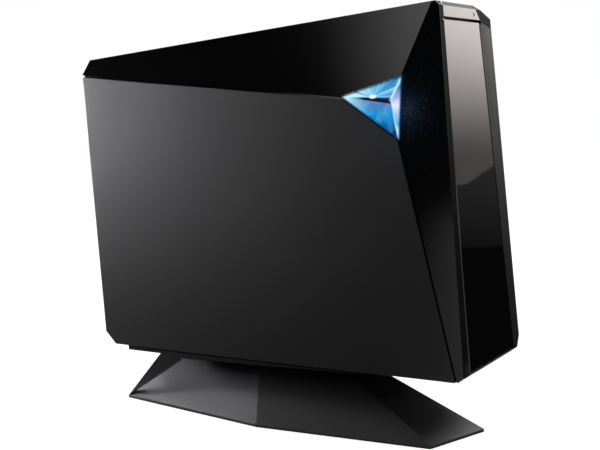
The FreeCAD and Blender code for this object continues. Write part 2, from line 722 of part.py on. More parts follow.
def bridge_board():
    """Board that plugs into the drive and carries the sockets."""
    xb = bridge_x()
    y0, y1 = bridge_span()
    z0, z1 = BRIDGE_Z
    board = box(xb, xb + BOARD_T, y0, y1, z0, z1)
    w, h, l = SATA
    zc = MID_Z + SATA_X
    plug = box(xb - h, xb, y0 - 1.0, y0 + 6, zc - w / 2, zc + w / 2)
    dy, dz, side, t = BRIDGE_CHIP
    chip = box(xb - t, xb, y0 + dy, y0 + dy + side, z0 + dz, z0 + dz + side)
    dy, dz, side, t = BRIDGE_COIL
    coil = box(xb - t, xb, y0 + dy, y0 + dy + side, z0 + dz, z0 + dz + side)
    dy, dz, r, t = BRIDGE_CANS
    cans = [post_bar(xb - t, y0 + dy + i * 2.6 * r, z0 + dz, r, t) for i in range(2)]
    ye = lead_end_y()
    ze = KEY_REAR[1] - LEAD_W / 2 - 3.0
    block = box(xb - LEAD_BLOCK, xb, ye - 2.5, ye + 2.5, ze - LEAD_W / 2 - 1, ze + LEAD_W / 2 + 1)
    board = joined([board, plug, chip, coil, block] + cans)
    holes = [rod(xb - 1, y, z, SCREW_R + 0.1, 9, V(1, 0, 0)) for y, z in bridge_holes()]
    return board.cut(holes)


def bridge_screws():
    screws = []
    xb = bridge_x()
    r, h = BRIDGE_SCREW_HEAD
    for y, z in bridge_holes():
        head = rod(xb - h, y, z, r, h, V(1, 0, 0))
        slot = box(xb - 2 * h, xb - h / 2, y - r, y + r, z - SLOT_HALF, z + SLOT_HALF)
        screws.append(head.fuse(rod(xb, y, z, SCREW_R - 0.05, BRIDGE_SCREW_L, V(1, 0, 0))).cut(slot))
    return Part.makeCompound(screws)


def usb_socket():
    """Square data socket with its tongue."""
    xb = bridge_x()
    w, h, d = USB
    y1 = REAR_Y + REAR_PROUD - 0.3
    shell = box(xb - h, xb, y1 - d, y1, USB_Z - w / 2, USB_Z + w / 2)
    xm = xb - h / 2
    bore = slab_y([(xm - 3.9, USB_Z - 4.2), (xm + 3.9, USB_Z - 4.2), (xm + 3.9, USB_Z + 4.2),
                   (xm - 2.3, USB_Z + 4.2), (xm - 3.9, USB_Z + 2.6)], y1 - d + 3, y1 + 1)
    tongue = box(xm - 1.6, xm + 1.6, y1 - d + 2, y1 - 1.5, USB_Z - 2.8, USB_Z + 2.8)
    return shell.cut(bore).fuse(tongue)


def dc_jack():
    """Round low-voltage inlet with its centre pin."""
    xb = bridge_x()
    w, h, d = DC
    y1 = REAR_Y + REAR_PROUD - 0.3
    body = box(xb - h, xb, y1 - d, y1, DC_Z - w / 2, DC_Z + w / 2)
    xm = xb - h / 2
    bore = rod(xm, y1 - d + 3, DC_Z, 3.1, d, V(0, 1, 0))
    pin = rod(xm, y1 - d + 2, DC_Z, 1.0, d - 3.5, V(0, 1, 0))
    return body.cut(bore).fuse(pin)


def mount_places():
    """Drive mounting screws: depth and height in the casing."""
    return [(FRONT_Y + y, MID_Z + x) for x in (-MOUNT_X, MOUNT_X) for y in MOUNT_Y]


def drive_screws():
    """Four screws from the right half into the drive's floor."""
    screws = []
    x_head = HALF_W - PANEL_T - MOUNT_HEAD[1]
    x_tip = -DRIVE_TOP_X - PCB_Z + 1.0
    for y, z in mount_places():
        shank = rod(x_tip, y, z, MOUNT_R, x_head - x_tip, V(1, 0, 0))
        head = rod(x_head, y, z, MOUNT_HEAD[0], MOUNT_HEAD[1], V(1, 0, 0))
        slot = box(x_head + 0.5, x_head + 2, y - 1.6, y + 1.6, z - 0.3, z + 0.3)
        screws.append(shank.fuse(head).cut(slot))
    return Part.makeCompound(screws)


# drive unit, drawn lying flat

def upright(shape):
    """Stand the flat-drawn drive on its edge inside the casing."""
    turned = shape.copy()
    turned.rotate(V(0, 0, 0), V(0, 1, 0), -90)
    turned.translate(V(-DRIVE_TOP_X, 0, MID_Z))
    return turned


def drive_ends():
    return FRONT_Y + DRIVE_FRONT, FRONT_Y + DRIVE_FRONT + DRIVE_L


def drive_chassis():
    """Folded sheet pan: floor, two sides, rear wall with connector slot."""
    y0, y1 = drive_ends()
    w = DRIVE_W / 2
    top = DRIVE_T - SHEET
    pan = box(-w, w, y0, y1, 0, top)
    pan = pan.cut(box(-w + SHEET, w - SHEET, y0 - 1, y1 - SHEET, SHEET, BIG))
    sw, sh, sl = SATA
    slot = box(SATA_X - sw / 2 - 0.4, SATA_X + sw / 2 + 0.4, y1 - 2, y1 + 1, PCB_Z + PCB_T - 1.8, PCB_Z + PCB_T + sh + 0.4)
    pan = pan.cut(slot)
    for x, y in board_posts():
        pan = pan.fuse(rod(x, y, SHEET / 2, 3.0, PCB_Z - SHEET / 2))
        pan = pan.cut(rod(x, y, -1, 1.2, PCB_Z + 2))
    for x in (-MOUNT_X, MOUNT_X):
        for y in MOUNT_Y:
            pan = pan.cut(rod(x, FRONT_Y + y, -1, MOUNT_R + 0.05, 3))
    return pan.removeSplitter()


def drive_cover():
    """Top sheet with side skirts and a pressed ring over the clamp."""
    y0, y1 = drive_ends()
    w = DRIVE_W / 2
    top = box(-w, w, y0, y1, DRIVE_T - SHEET, DRIVE_T)
    skirt = box(w - 2 * SHEET, w - SHEET, y0, y1 - SHEET, DRIVE_T - COVER_SKIRT, DRIVE_T - SHEET / 2)
    cover = joined([top, skirt, mirrored(skirt)])
    outer, inner, deep = COVER_RING
    ring = rod(0, DISC, DRIVE_T - deep, outer, 1).cut(rod(0, DISC, DRIVE_T - 1, inner, 3))
    cuts = [ring]
    place, half, before, behind = COVER_RIBS
    for x in (-place, place):
        cuts.append(box(x - half, x + half, DISC - before, DISC + behind, DRIVE_T - deep, DRIVE_T + 1))
    return cover.cut(cuts)


def board_posts():
    y0, y1 = FRONT_Y + PCB_Y[0], FRONT_Y + PCB_Y[1]
    return [(x, y) for x in (-PCB_HALF + 6, PCB_HALF - 6) for y in (y0 + 6, y1 - 6)]


def drive_board():
    """Main board of the drive with its connector at the rear."""
    y0, y1 = FRONT_Y + PCB_Y[0], FRONT_Y + PCB_Y[1]
    z0, z1 = PCB_Z, PCB_Z + PCB_T
    board = box(-PCB_HALF, PCB_HALF, y0, y1, z0, z1)
    sw, sh, sl = SATA
    end = drive_ends()[1]
    plug = box(SATA_X - sw / 2, SATA_X + sw / 2, end - sl, end, z1, z1 + sh)
    parts = [board, plug]
    for x, y, a, b in ((-44, 30, 14, 14), (-20, 60, 10, 10), (30, 90, 8, 12), (-44, 92, 9, 16)):
        parts.append(box(x - a / 2, x + a / 2, y0 + y - b / 2, y0 + y + b / 2, z1, z1 + 1.2))
    board = joined(parts)
    return board.cut([rod(x, y, 0, 1.4, 9) for x, y in board_posts()])


def board_screws():
    z1 = PCB_Z + PCB_T
    screws = []
    for x, y in board_posts():
        head = rod(x, y, z1, 2.2, 1.2).cut(box(x - 1.4, x + 1.4, y - 0.3, y + 0.3, z1 + 0.6, z1 + 2))
        screws.append(head.fuse(rod(x, y, 1.2, 1.15, z1 - 1.2)))
    return Part.makeCompound(screws)


def well_limits():
    """Opening in the deck that the traverse moves in."""
    x0 = TRAV_X[0] - 4
    x1 = TRAV_X[1] + 4
    return x0, x1, FRONT_Y + CAM_Y - 1.0, FRONT_Y + PIVOT_Y + 4


def loader_frame():
    """Moulded frame: deck with the traverse well, side walls and tray rails."""
    y0, y1 = drive_ends()
    y1 = y1 - SHEET - FRAME_GAP
    x_out = DRIVE_W / 2 - 2 * SHEET - FRAME_GAP
    x_in = x_out - FRAME_WALL
    tray_foot = TRAY_TOP - TRAY_T
    lip_z = TRAY_TOP + TRAY_PLAY
    wall = box(x_in, x_out, y0 + 0.5, y1, SHEET, lip_z + LIP_T)
    ledge = box(TRAY_X - 3.5, x_in, y0 + 0.5, y1, RAIL_Z, tray_foot - TRAY_PLAY)
    lip = box(x_in - LIP_REACH, x_in, DISC - 18, y1, lip_z, lip_z + LIP_T)
    side = joined([wall, ledge, lip])
    deck = box(-x_in, x_in, y0 + 0.5, y1, DECK_Z, DECK_Z + DECK_T)
    wx0, wx1, wy0, wy1 = well_limits()
    deck = deck.cut(box(wx0, wx1, wy0, wy1, 0, BIG))
    deck = deck.cut(box(wx0 - 3, wx1 + CAM_SHIFT, wy0, wy0 + 6, 0, BIG))
    rear = box(-x_in, x_in, y1 - 3, y1, PCB_Z + PCB_T + SATA[1] + 1.5, RAIL_Z)
    frame = joined([side, mirrored(side), deck, rear])
    cam0 = FRONT_Y + CAM_Y
    shelf_z = CAM_Z[0] - CAM_PLAY
    apron = box(-x_in, x_in, wy0 - 1.5, wy0, shelf_z - 1.4, DECK_Z + DECK_T)
    shelf = box(-x_in, x_in, wy0, cam0 + CAM_T + CAM_PLAY, shelf_z - 1.4, shelf_z)
    frame = joined([frame, apron, shelf])
    for x, sign in ((TRAV_X[0], -1), (TRAV_X[1], 1)):
        xa = x + sign * 1.5
        xb = x + sign * 7.0
        block = box(min(xa, xb), max(xa, xb), FRONT_Y + PIVOT_Y - 5, wy1 + 1, DECK_Z, PIVOT_Z + 4)
        frame = frame.fuse(block)
        bore = rod(min(xa, xb) - 1, FRONT_Y + PIVOT_Y, PIVOT_Z, PIVOT_R + AXLE_PLAY, 8, V(1, 0, 0))
        frame = frame.cut(bore)
    for x, y, z in train_posts():
        frame = frame.fuse(rod(x, y, DECK_Z, GEAR_BORE + 2.0, WHEEL_Z - 4.6 - DECK_Z))
        frame = frame.fuse(rod(x, y, DECK_Z, GEAR_BORE, z - DECK_Z))
    mx, my = motor_place()
    frame = frame.cut(rod(mx, my, DECK_Z - 1, 4.0, 9))
    frame = frame.cut(rod(mx, my, 0, MOTOR_R + FRAME_GAP, DECK_Z))
    return frame.removeSplitter()


def clamp_z():
    return TRAY_TOP + TRAY_PLAY + LIP_T


# tray and its gearing

def pinion_place():
    return RACK_X + PINION_M * PINION_N / 2, FRONT_Y + PINION_Y


def driver_place():
    gap = WHEEL_M * (WHEEL_N + DRIVER_N) / 2
    x, y = pinion_place()
    a = math.radians(TRAIN_TURN)
    return x + gap * math.cos(a), y + gap * math.sin(a)


def motor_place():
    return MOTOR_X, driver_place()[1]


def train_posts():
    px, py = pinion_place()
    gx, gy = driver_place()
    return [(px, py, WHEEL_Z + WHEEL_T + RACK_H + 1.2), (gx, gy, WHEEL_Z + WHEEL_T + 1.0)]


def tooth_half(r, m, n):
    """Half tooth angle of an involute gear at a radius."""
    base = m * n / 2 * math.cos(math.radians(20))
    lean = math.tan(math.radians(20)) - math.radians(20)
    a = math.acos(min(1.0, base / r))
    return math.pi / (2 * n) - BACKLASH / (2 * m * n / 2) + lean - (math.tan(a) - a)


def gear(m, n, z0, height, turn=0.0):
    """Spur gear with involute flanks, axis at the origin."""
    pitch = m * n / 2
    radii = [max(pitch - 1.15 * m, pitch * 0.945), pitch, pitch + 0.9 * m]
    root = pitch - 1.2 * m
    points = []
    for i in range(n):
        mid = 2 * math.pi * i / n + turn
        halves = [(r, tooth_half(r, m, n)) for r in radii]
        points.append((root, mid - halves[0][1]))
        points += [(r, mid - h) for r, h in halves]
        points += [(r, mid + h) for r, h in reversed(halves)]
        points.append((root, mid + halves[0][1]))
    return slab_z([(r * math.cos(a), r * math.sin(a)) for r, a in points], z0, z0 + height)


def moved(shape, x, y, z=0.0):
    copy = shape.copy()
    copy.translate(V(x, y, z))
    return copy


def rack_teeth(y0, y1, z0, z1, phase):
    """Straight rack, teeth towards +X, pitch line at RACK_X."""
    p = math.pi * PINION_M
    tan = math.tan(math.radians(20))
    tip = RACK_X + 0.9 * PINION_M
    root = RACK_X - 1.2 * PINION_M
    w = p / 4 - BACKLASH / 4
    points = [(RACK_X - RACK_T, y0), (root, y0)]
    k = math.ceil((y0 + 1.6 - phase) / p)
    while phase + k * p + 1.6 < y1:
        y = phase + k * p
        points.append((root, y - w - (RACK_X - root) * tan))
        points.append((tip, y - w + (tip - RACK_X) * tan))
        points.append((tip, y + w - (tip - RACK_X) * tan))
        points.append((root, y + w + (RACK_X - root) * tan))
        k += 1
    points += [(root, y1), (RACK_X - RACK_T, y1)]
    return slab_z(points, z0, z1)


def disc_tray():
    """Disc tray: dished floor for two disc sizes, open slot to the rear."""
    y0 = FRONT_Y + TRAY_NOSE
    y1 = y0 + TRAY_L
    foot = TRAY_TOP - TRAY_T
    floor = TRAY_TOP - DISC_DEPTH
    tray = box(-TRAY_X, TRAY_X, y0, y1, foot, TRAY_TOP)
    under = floor - MINI_DEPTH - TRAY_FLOOR
    tray = tray.cut(box(-TRAY_X + TRAY_SKIRT, TRAY_X - TRAY_SKIRT, y0 + TRAY_SKIRT, y1 + 1, foot - 1, under))
    tray = tray.cut(rod(0, DISC, floor, DISC_R, DISC_DEPTH + 1))
    tray = tray.cut(rod(0, DISC, floor - MINI_DEPTH, MINI_R, DISC_DEPTH + 1))
    slot = rod(0, DISC, foot, SLOT_W / 2, TRAY_T + 1)
    slot = slot.fuse(box(-SLOT_W / 2, SLOT_W / 2, DISC, y1 + 1, foot, TRAY_TOP + 1))
    tray = tray.cut(slot)
    for x in (-TRAY_X + 12, TRAY_X - 12):
        tray = tray.cut(rod(x, DISC - 52, under - 1, 4.5, TRAY_T))
    phase = FRONT_Y + PINION_Y
    rack = rack_teeth(y0 + TRAY_SKIRT, y1, under - RACK_H, under, phase)
    rib = box(-RACK_X, -RACK_X + 2, y0 + TRAY_SKIRT, y1, under - 3, under)
    return joined([tray, rack, rib])


def tray_pinion():
    """Wheel and rack pinion in one moulding."""
    x, y = pinion_place()
    turn = math.radians(TRAIN_TURN)
    wheel = gear(WHEEL_M, WHEEL_N, WHEEL_Z, WHEEL_T, turn)
    gap = math.pi / PINION_N
    pinion = gear(PINION_M, PINION_N, WHEEL_Z + WHEEL_T - 0.1, RACK_H + 0.6, math.pi + gap)
    bore = rod(0, 0, 0, GEAR_BORE + AXLE_PLAY, 60)
    return moved(wheel.fuse(pinion).cut(bore), x, y)


def pulley(r, t, bore, z0):
    """Grooved belt pulley as one turned profile."""
    mid = z0 + t / 2
    g = BELT / 2 + 0.2
    deep = r - BELT_SINK - BELT / 2 - BELT_PLAY
    profile = [(bore, z0), (r, z0), (r, mid - g - 0.2), (deep, mid - g), (deep, mid + g),
               (r, mid + g + 0.2), (r, z0 + t), (bore, z0 + t)]
    face = sheet([(a, 0, b) for a, b in profile])
    return face.revolve(V(0, 0, 0), V(0, 0, 1), 360)


def pulley_gear():
    """Belt pulley with the driving gear on top."""
    x, y = driver_place()
    bore = GEAR_BORE + AXLE_PLAY
    wheel = pulley(PULLEY_R, PULLEY_T, bore, PULLEY_Z)
    back = math.radians(TRAIN_TURN) + math.pi + math.pi / DRIVER_N
    top = gear(WHEEL_M, DRIVER_N, PULLEY_Z + PULLEY_T - 0.1, WHEEL_Z + WHEEL_T - PULLEY_Z - PULLEY_T + 0.1, back)
    return moved(wheel.fuse(top.cut(rod(0, 0, 0, bore, 60))), x, y)


def motor_pulley():
    x, y = motor_place()
    wheel = pulley(MOTOR_PULLEY_R, PULLEY_T, 0.8 + AXLE_PLAY, PULLEY_Z)
    return moved(wheel, x, y)


def belt_loop(grow):
    """Outline of the belt run round both pulleys, at one offset."""
    gx, gy = driver_place()
    mx, my = motor_place()
    big = PULLEY_R - BELT_SINK + grow
    small = MOTOR_PULLEY_R - BELT_SINK + grow
    d = gx - mx
    lean = math.asin((big - small) / d)
    c, s = math.cos(lean), math.sin(lean)
    a = V(gx - big * s, gy + big * c, 0)
    b = V(mx - small * s, my + small * c, 0)
    a2 = V(a.x, 2 * gy - a.y, 0)
    b2 = V(b.x, 2 * my - b.y, 0)
    edges = [Part.LineSegment(a, b).toShape(),
             Part.Arc(b, V(mx - small, my, 0), b2).toShape(),
             Part.LineSegment(b2, a2).toShape(),
             Part.Arc(a2, V(gx + big, gy, 0), a).toShape()]
    return Part.Face(Part.Wire(edges))


def drive_belt():
    """Rubber belt between the motor pulley and the pulley gear."""
    ring = belt_loop(BELT / 2).cut(belt_loop(-BELT / 2))
    z = PULLEY_Z + PULLEY_T / 2 - BELT / 2
    return moved(ring.extrude(V(0, 0, BELT)), 0, 0, z)


def loading_motor():
    """Tray motor hung under the deck."""
    x, y = motor_place()
    z1 = DECK_Z
    can = rod(x, y, z1 - MOTOR_H, MOTOR_R, MOTOR_H)
    can = can.cut([box(x - 20, x - 8, y - 20, y + 20, 0, z1 - 0.8), box(x + 8, x + 20, y - 20, y + 20, 0, z1 - 0.8)])
    neck = rod(x, y, z1, 3.0, DECK_T)
    shaft = rod(x, y, z1, 0.8, PULLEY_Z + PULLEY_T - z1)
    return joined([can, neck, shaft])


def cam_slot(x, slider_x):
    """Slanted slot that lifts a traverse pin, drawn at the raised place."""
    y0 = FRONT_Y + CAM_Y
    fall = (FRONT_Y + PIVOT_Y - pin_y()) * math.sin(math.radians(DROP))
    r = CAM_PIN_R + 0.3
    ends = [(x - CAM_SHIFT - 1.0, CAM_PIN_Z - fall - fall / CAM_SHIFT), (x + 1.0, CAM_PIN_Z + fall / CAM_SHIFT)]
    dx, dz = ends[1][0] - ends[0][0], ends[1][1] - ends[0][1]
    l = math.hypot(dx, dz)
    nx, nz = -dz / l * r, dx / l * r
    (xa, za), (xb, zb) = ends
    bar = slab_y([(xa + nx, za + nz), (xa - nx, za - nz), (xb - nx, zb - nz), (xb + nx, zb + nz)], y0 - 1, y0 + CAM_T + 1)
    caps = [rod(a, y0 - 1, b, r, CAM_T + 2, V(0, 1, 0)) for a, b in ends]
    return bar.fuse(caps[0]).fuse(caps[1])


def pin_y():
    """Middle of the cam pins' length."""
    return FRONT_Y + CAM_Y + CAM_T / 2


def cam_slider():
    """Sliding plate whose slanted slots raise and lower the traverse."""
    y0 = FRONT_Y + CAM_Y
    plate = box(-CAM_HALF, CAM_HALF, y0, y0 + CAM_T, CAM_Z[0], CAM_Z[1])
    for x in CAM_PINS:
        plate = plate.cut(cam_slot(x, 0))
    notch = box(-CAM_HALF - 1, -CAM_HALF + 4, y0 - 1, y0 + CAM_T + 1, CAM_Z[1] - 4, CAM_Z[1] + 1)
    return plate.cut([notch, mirrored(notch)])


def traverse_frame():
    """Tilting frame that carries the spindle and the pickup."""
    x0, x1 = TRAV_X
    y0, y1 = FRONT_Y + TRAV_Y[0], FRONT_Y + TRAV_Y[1]
    z0, z1 = TRAV_Z
    wx0, wx1, wy0, wy1 = TRAV_WINDOW
    frame = box(x0, x1, y0, y1, z0, z1)
    frame = frame.cut(box(x0 + 2.2, x1 - 2.2, y0 + 2.2, y1 - 2.2, z0 - 1, z1 - 2.0))
    window = box(wx0, wx1, FRONT_Y + wy0, FRONT_Y + wy1, z0 - 1, z1 + 1)
    frame = frame.cut(window)
    pivot_y = FRONT_Y + PIVOT_Y
    ear0 = box(x0, x0 + 4, y1 - 1, pivot_y + 3, PIVOT_Z - 3, PIVOT_Z + 3)
    ear1 = box(x1 - 4, x1, y1 - 1, pivot_y + 3, PIVOT_Z - 3, PIVOT_Z + 3)
    pins = [rod(x0 - 6.5, pivot_y, PIVOT_Z, PIVOT_R, 7.0, V(1, 0, 0)),
            rod(x1 - 0.5, pivot_y, PIVOT_Z, PIVOT_R, 7.0, V(1, 0, 0))]
    for x in CAM_PINS:
        pins.append(rod(x, FRONT_Y + CAM_Y - 0.6, CAM_PIN_Z, CAM_PIN_R, TRAV_Y[0] - CAM_Y + 3.0, V(0, 1, 0)))
    blocks = []
    for x in (-ROD_X, ROD_X):
        blocks.append(box(x - 3, x + 3, FRONT_Y + wy0 - 5, FRONT_Y + wy0, z0, z1 - 1))
        blocks.append(box(x - 3, x + 3, FRONT_Y + wy1, FRONT_Y + wy1 + 5, z0, z1 - 1))
    frame = joined([frame, ear0, ear1] + pins + blocks)
    bores = [rod(SCREW_X, sled_motor_y() - 1, ROD_Z, SLED_MOTOR_R, FRONT_Y + wy1 - sled_motor_y() + 1, V(0, 1, 0))]
    for x in (-ROD_X, ROD_X):
        bores.append(rod(x, FRONT_Y + wy0 - 4, ROD_Z, ROD_R, wy1 - wy0 + 8, V(0, 1, 0)))
    return frame.cut(bores)


def guide_rods():
    """Two ground rods that the sled runs on."""
    wx0, wx1, wy0, wy1 = TRAV_WINDOW
    rods = [rod(x, FRONT_Y + wy0 - 4, ROD_Z, ROD_R, wy1 - wy0 + 8, V(0, 1, 0)) for x in (-ROD_X, ROD_X)]
    return Part.makeCompound(rods)


def pickup_sled():
    """Pickup body running on both rods, with its raised lens carrier."""
    y = FRONT_Y + SLED_Y
    y0, y1 = y + SLED_RUN[0], y + SLED_RUN[1]
    z0, z1 = SLED_Z
    body = box(-ROD_X - 3.2, ROD_X + 3.2, y0, y1, z0, z1)
    body = body.cut(box(-ROD_X + 3, ROD_X - 3, y0 - 1, y0 + 3, z0 - 1, z1 + 1))
    tower = box(-11, 11, y - 5.5, y + 8, z1 - 0.5, LENS_TOP - 3.5)
    neck = rod(0, y, LENS_TOP - 3.6, 5.0, 1.8)
    arm = box(ROD_X + 3, SCREW_X + 0.2, y + 2, y + 7, z0, ROD_Z - LEAD_R - 0.3)
    fin = box(ROD_X + 3, SCREW_X - LEAD_R - 0.3, y + 2, y + 7, z0, ROD_Z + 2)
    sled = joined([body, tower, neck, arm, fin])
    bore = rod(-ROD_X, y0 - 1, ROD_Z, ROD_R + AXLE_PLAY, 40, V(0, 1, 0))
    fork = box(ROD_X - ROD_R - AXLE_PLAY, ROD_X + 9, y0 - 1, y1 + 1, ROD_Z - ROD_R - AXLE_PLAY, ROD_Z + ROD_R + AXLE_PLAY)
    fork = fork.common(box(0, ROD_X + 3.0 + 9, y0 - 1, y1 + 1, 0, 50))
    seat = rod(0, y, LENS_TOP - LENS_SEAT, LENS_R, 5)
    return sled.cut([bore, fork, seat])


def objective_lens():
    """Small lens: a rim with a crowned top."""
    y = FRONT_Y + SLED_Y
    z = LENS_TOP - LENS_SEAT
    rim = LENS_R - AXLE_PLAY
    lens = rod(0, y, z, rim, LENS_SEAT - 1.0)
    crown = Part.makeCone(rim - 0.5, 1.5, 1.0, V(0, y, LENS_TOP - 1.0))
    return lens.fuse(crown)


def lead_screw():
    """Screw that drives the sled."""
    wx0, wx1, wy0, wy1 = TRAV_WINDOW
    y0 = FRONT_Y + wy0 + 0.4
    y1 = sled_motor_y() - 0.3
    journal = rod(SCREW_X, y0, ROD_Z, LEAD_R - 0.4, y1 - y0, V(0, 1, 0))
    return journal.fuse(rod(SCREW_X, y0 + 2, ROD_Z, LEAD_R, y1 - y0 - 4, V(0, 1, 0)))


def sled_motor_y():
    return FRONT_Y + TRAV_WINDOW[3] - SLED_MOTOR_L


def sled_motor():
    """Small stepping motor at the rear end of the lead screw."""
    y0 = sled_motor_y()
    y1 = FRONT_Y + TRAV_WINDOW[3]
    can = rod(SCREW_X, y0, ROD_Z, SLED_MOTOR_R - AXLE_PLAY, y1 - y0, V(0, 1, 0))
    return can.common(box(0, TRAV_X[1] - 2.3, y0, y1, TRAV_Z[0] - 9, BIG))


def spindle_motor():
    """Base plate and stator of the disc motor."""
    z0 = TRAV_Z[1]
    half, before, behind = SPINDLE_PLATE
    plate = box(-half, half, DISC - before, DISC + behind, z0, z0 + 1.0)
    stator = rod(0, DISC, z0, ROTOR_R - ROTOR_WALL - ROTOR_PLAY, ROTOR_Z + 4.5 - z0)
    post = rod(0, DISC, z0, 2.2, ROTOR_Z + 5.5 - z0)
    bore = rod(0, DISC, z0 - 1, 1.05, 20)
    return joined([plate, stator, post]).cut(bore)


def turntable():
    """Rotor cup, platter and centring hub turned as one profile."""
    zt = PLATTER_TOP
    inner = ROTOR_R - ROTOR_WALL
    roof = ROTOR_Z + 6.2
    profile = [(0, TRAV_Z[1] + 0.5), (1.0, TRAV_Z[1] + 0.5), (1.0, roof), (inner, roof),
               (inner, ROTOR_Z), (ROTOR_R, ROTOR_Z), (ROTOR_R, zt - 1.8), (PLATTER_R, zt - 1.4),
               (PLATTER_R, zt), (HUB_R, zt), (HUB_R - 0.2, zt + HUB_H * 0.5), (HUB_R - 1.6, zt + HUB_H),
               (0, zt + HUB_H)]
    face = sheet([(a, 0, b) for a, b in profile])
    return moved(face.revolve(V(0, 0, 0), V(0, 0, 1), 360), 0, DISC)


def clamp_bridge():
    """Steel strip across the frame that the clamp hangs in."""
    x = DRIVE_W / 2 - 2 * SHEET - FRAME_GAP
    z = clamp_z()
    strip = box(-x, x, DISC - CLAMP_W / 2, DISC + CLAMP_W / 2, z, z + CLAMP_T)
    strip = strip.fuse(rod(0, DISC, z, CLAMP_RING_R, CLAMP_T))
    return strip.cut(rod(0, DISC, z - 1, BRIDGE_HOLE_R, 4)).removeSplitter()


def clamp_puck():
    """Disc clamp: flange, neck through the bridge, cap above it."""
    z = clamp_z()
    foot = PLATTER_TOP + DISC_T
    cap0 = z + CLAMP_T + 0.5
    profile = [(0, foot + 1.1), (HUB_R - 1.2, foot + 1.1), (HUB_R + 0.8, foot), (PUCK_R - 1, foot),
               (PUCK_R, foot + 0.6), (PUCK_R, z - 0.5), (PUCK_NECK_R, z - 0.5), (PUCK_NECK_R, cap0),
               (PUCK_R - 1.5, cap0), (PUCK_R - 1.5, cap0 + 1.0), (0, cap0 + 1.0)]
    face = sheet([(a, 0, b) for a, b in profile])
    return moved(face.revolve(V(0, 0, 0), V(0, 0, 1), 360), 0, DISC)


# stand, drawn from the floor

def base_planes():
    """Lip edges of the base with the slope of the facet that rises from each."""
    nose = (0.0, -NOSE_Y)
    f = (-FRONT_CORNER[0], -FRONT_CORNER[1])
    m = (-WAIST[0], -WAIST[1])
    l = (-REAR_CORNER[0], REAR_CORNER[1])
    l2 = (REAR_CORNER[0], REAR_CORNER[1])
    m2 = (WAIST[0], -WAIST[1])
    r = (CUT_CORNER[0], -CUT_CORNER[1])
    return [(nose, r, CUT_SLOPE), (r, m2, FLANK_SLOPE), (m2, l2, REAR_FLANK_SLOPE),
            (l2, l, TAIL_SLOPE), (l, m, REAR_FLANK_SLOPE), (m, f, FLANK_SLOPE), (f, nose, NOSE_SLOPE)]


def base_form(inset):
    """Faceted base: lip outline cut by the facets that rise from its edges."""
    planes = base_planes()
    outline = grown([a for a, b, s in planes], -inset) if inset else [a for a, b, s in planes]
    form = slab_z(outline, FOOT_GAP, STAND_RISE - 2.6 - inset)
    cuts = []
    for a, b, slope in planes:
        run = V(b[0] - a[0], b[1] - a[1], 0).normalize()
        out = V(run.y, -run.x, 0)
        s = math.radians(slope)
        n = V(out.x * math.sin(s), out.y * math.sin(s), math.cos(s))
        p = V(a[0], a[1], LIP_H) - n * inset
        cuts.append(beyond(tuple(p), tuple(n)))
    return form.cut(cuts)


def stand_base():
    """Hollow base moulding, open underneath, with posts for the screws."""
    inner = base_form(BASE_WALL)
    cavity = inner.fuse(moved(inner, 0, 0, -BASE_WALL))
    shell = base_form(0.0).cut(cavity)
    for x, y in STAND_SCREWS:
        foot = FOOT_GAP + BALLAST_T
        post = rod(x, y, foot, STAND_SCREW_R + 2.5, STAND_RISE).common(base_form(BASE_WALL / 2))
        shell = shell.fuse(post)
        shell = shell.cut(rod(x, y, 0, STAND_SCREW_R + 0.1, STAND_RISE))
    return shell.removeSplitter()


def ballast_plate():
    """Steel weight that closes the base, with pockets for the feet."""
    plate = base_form(BASE_WALL + BALLAST_GAP)
    plate = plate.fuse(moved(plate, 0, 0, -BASE_WALL))
    plate = plate.common(box(-BIG, BIG, -BIG, BIG, FOOT_GAP, FOOT_GAP + BALLAST_T))
    cuts = [rod(x, y, 0, FOOT_R + FIT, FOOT_H) for x, y in FEET]
    for x, y in STAND_SCREWS:
        cuts.append(rod(x, y, 0, STAND_SCREW_R + 0.1, BIG))
        cuts.append(rod(x, y, 0, STAND_SCREW_HEAD[0] + 0.2, FOOT_GAP + STAND_SCREW_HEAD[1]))
    return plate.cut(cuts)


def stand_feet():
    """Four rubber feet with a broken lower edge."""
    feet = []
    for x, y in FEET:
        foot = rod(x, y, 0, FOOT_R, FOOT_H)
        lower = [e for e in foot.Edges if e.BoundBox.ZMax < 0.01]
        feet.append(foot.makeChamfer(0.4, lower))
    return Part.makeCompound(feet)


def cradle():
    """Wedge plate under the casing with a triangular cheek on each side."""
    y0, y1 = CRADLE_Y
    top = STAND_RISE
    half = CRADLE_HALF
    rear_z = top - CRADLE_REAR_T
    mid_z = top - CRADLE_MID_T
    profile = [(y0, top), (y0, top - CRADLE_FRONT_T), (CRADLE_MID_Y, mid_z),
               (CRADLE_MID_Y, rear_z), (y1, rear_z), (y1, top)]
    plate = slab_x(profile, -half, half)
    w, ahead = CRADLE_PAD
    pad = box(-w, w, -ahead, CRADLE_MID_Y, rear_z, top)
    cheek = [(REAR_CORNER[1], LIP_H), (CHEEK_TOP_Y, rear_z), (CRADLE_MID_Y, rear_z),
             (CRADLE_MID_Y, mid_z - CHEEK_FOOT)]
    left = slab_x(cheek, -half, -half + CHEEK_T)
    shape = joined([plate, pad, left, mirrored(left)]).cut(base_form(0.0))
    for x, y in STAND_SCREWS:
        shape = shape.cut(rod(x, y, 0, STAND_SCREW_R, top - STAND_SCREW_TOP))
    return shape.removeSplitter()


def stand_screws():
    """Two long screws from below through base and into the cradle."""
    screws = []
    r, h = STAND_SCREW_HEAD
    for x, y in STAND_SCREWS:
        head = rod(x, y, FOOT_GAP, r, h).cut(box(x - 2, x + 2, y - 0.3, y + 0.3, 0, FOOT_GAP + 0.8))
        top = STAND_RISE - STAND_SCREW_TOP - 0.2
        screws.append(head.fuse(rod(x, y, FOOT_GAP + h, STAND_SCREW_R - 0.05, top - FOOT_GAP - h)))
    return Part.makeCompound(screws)


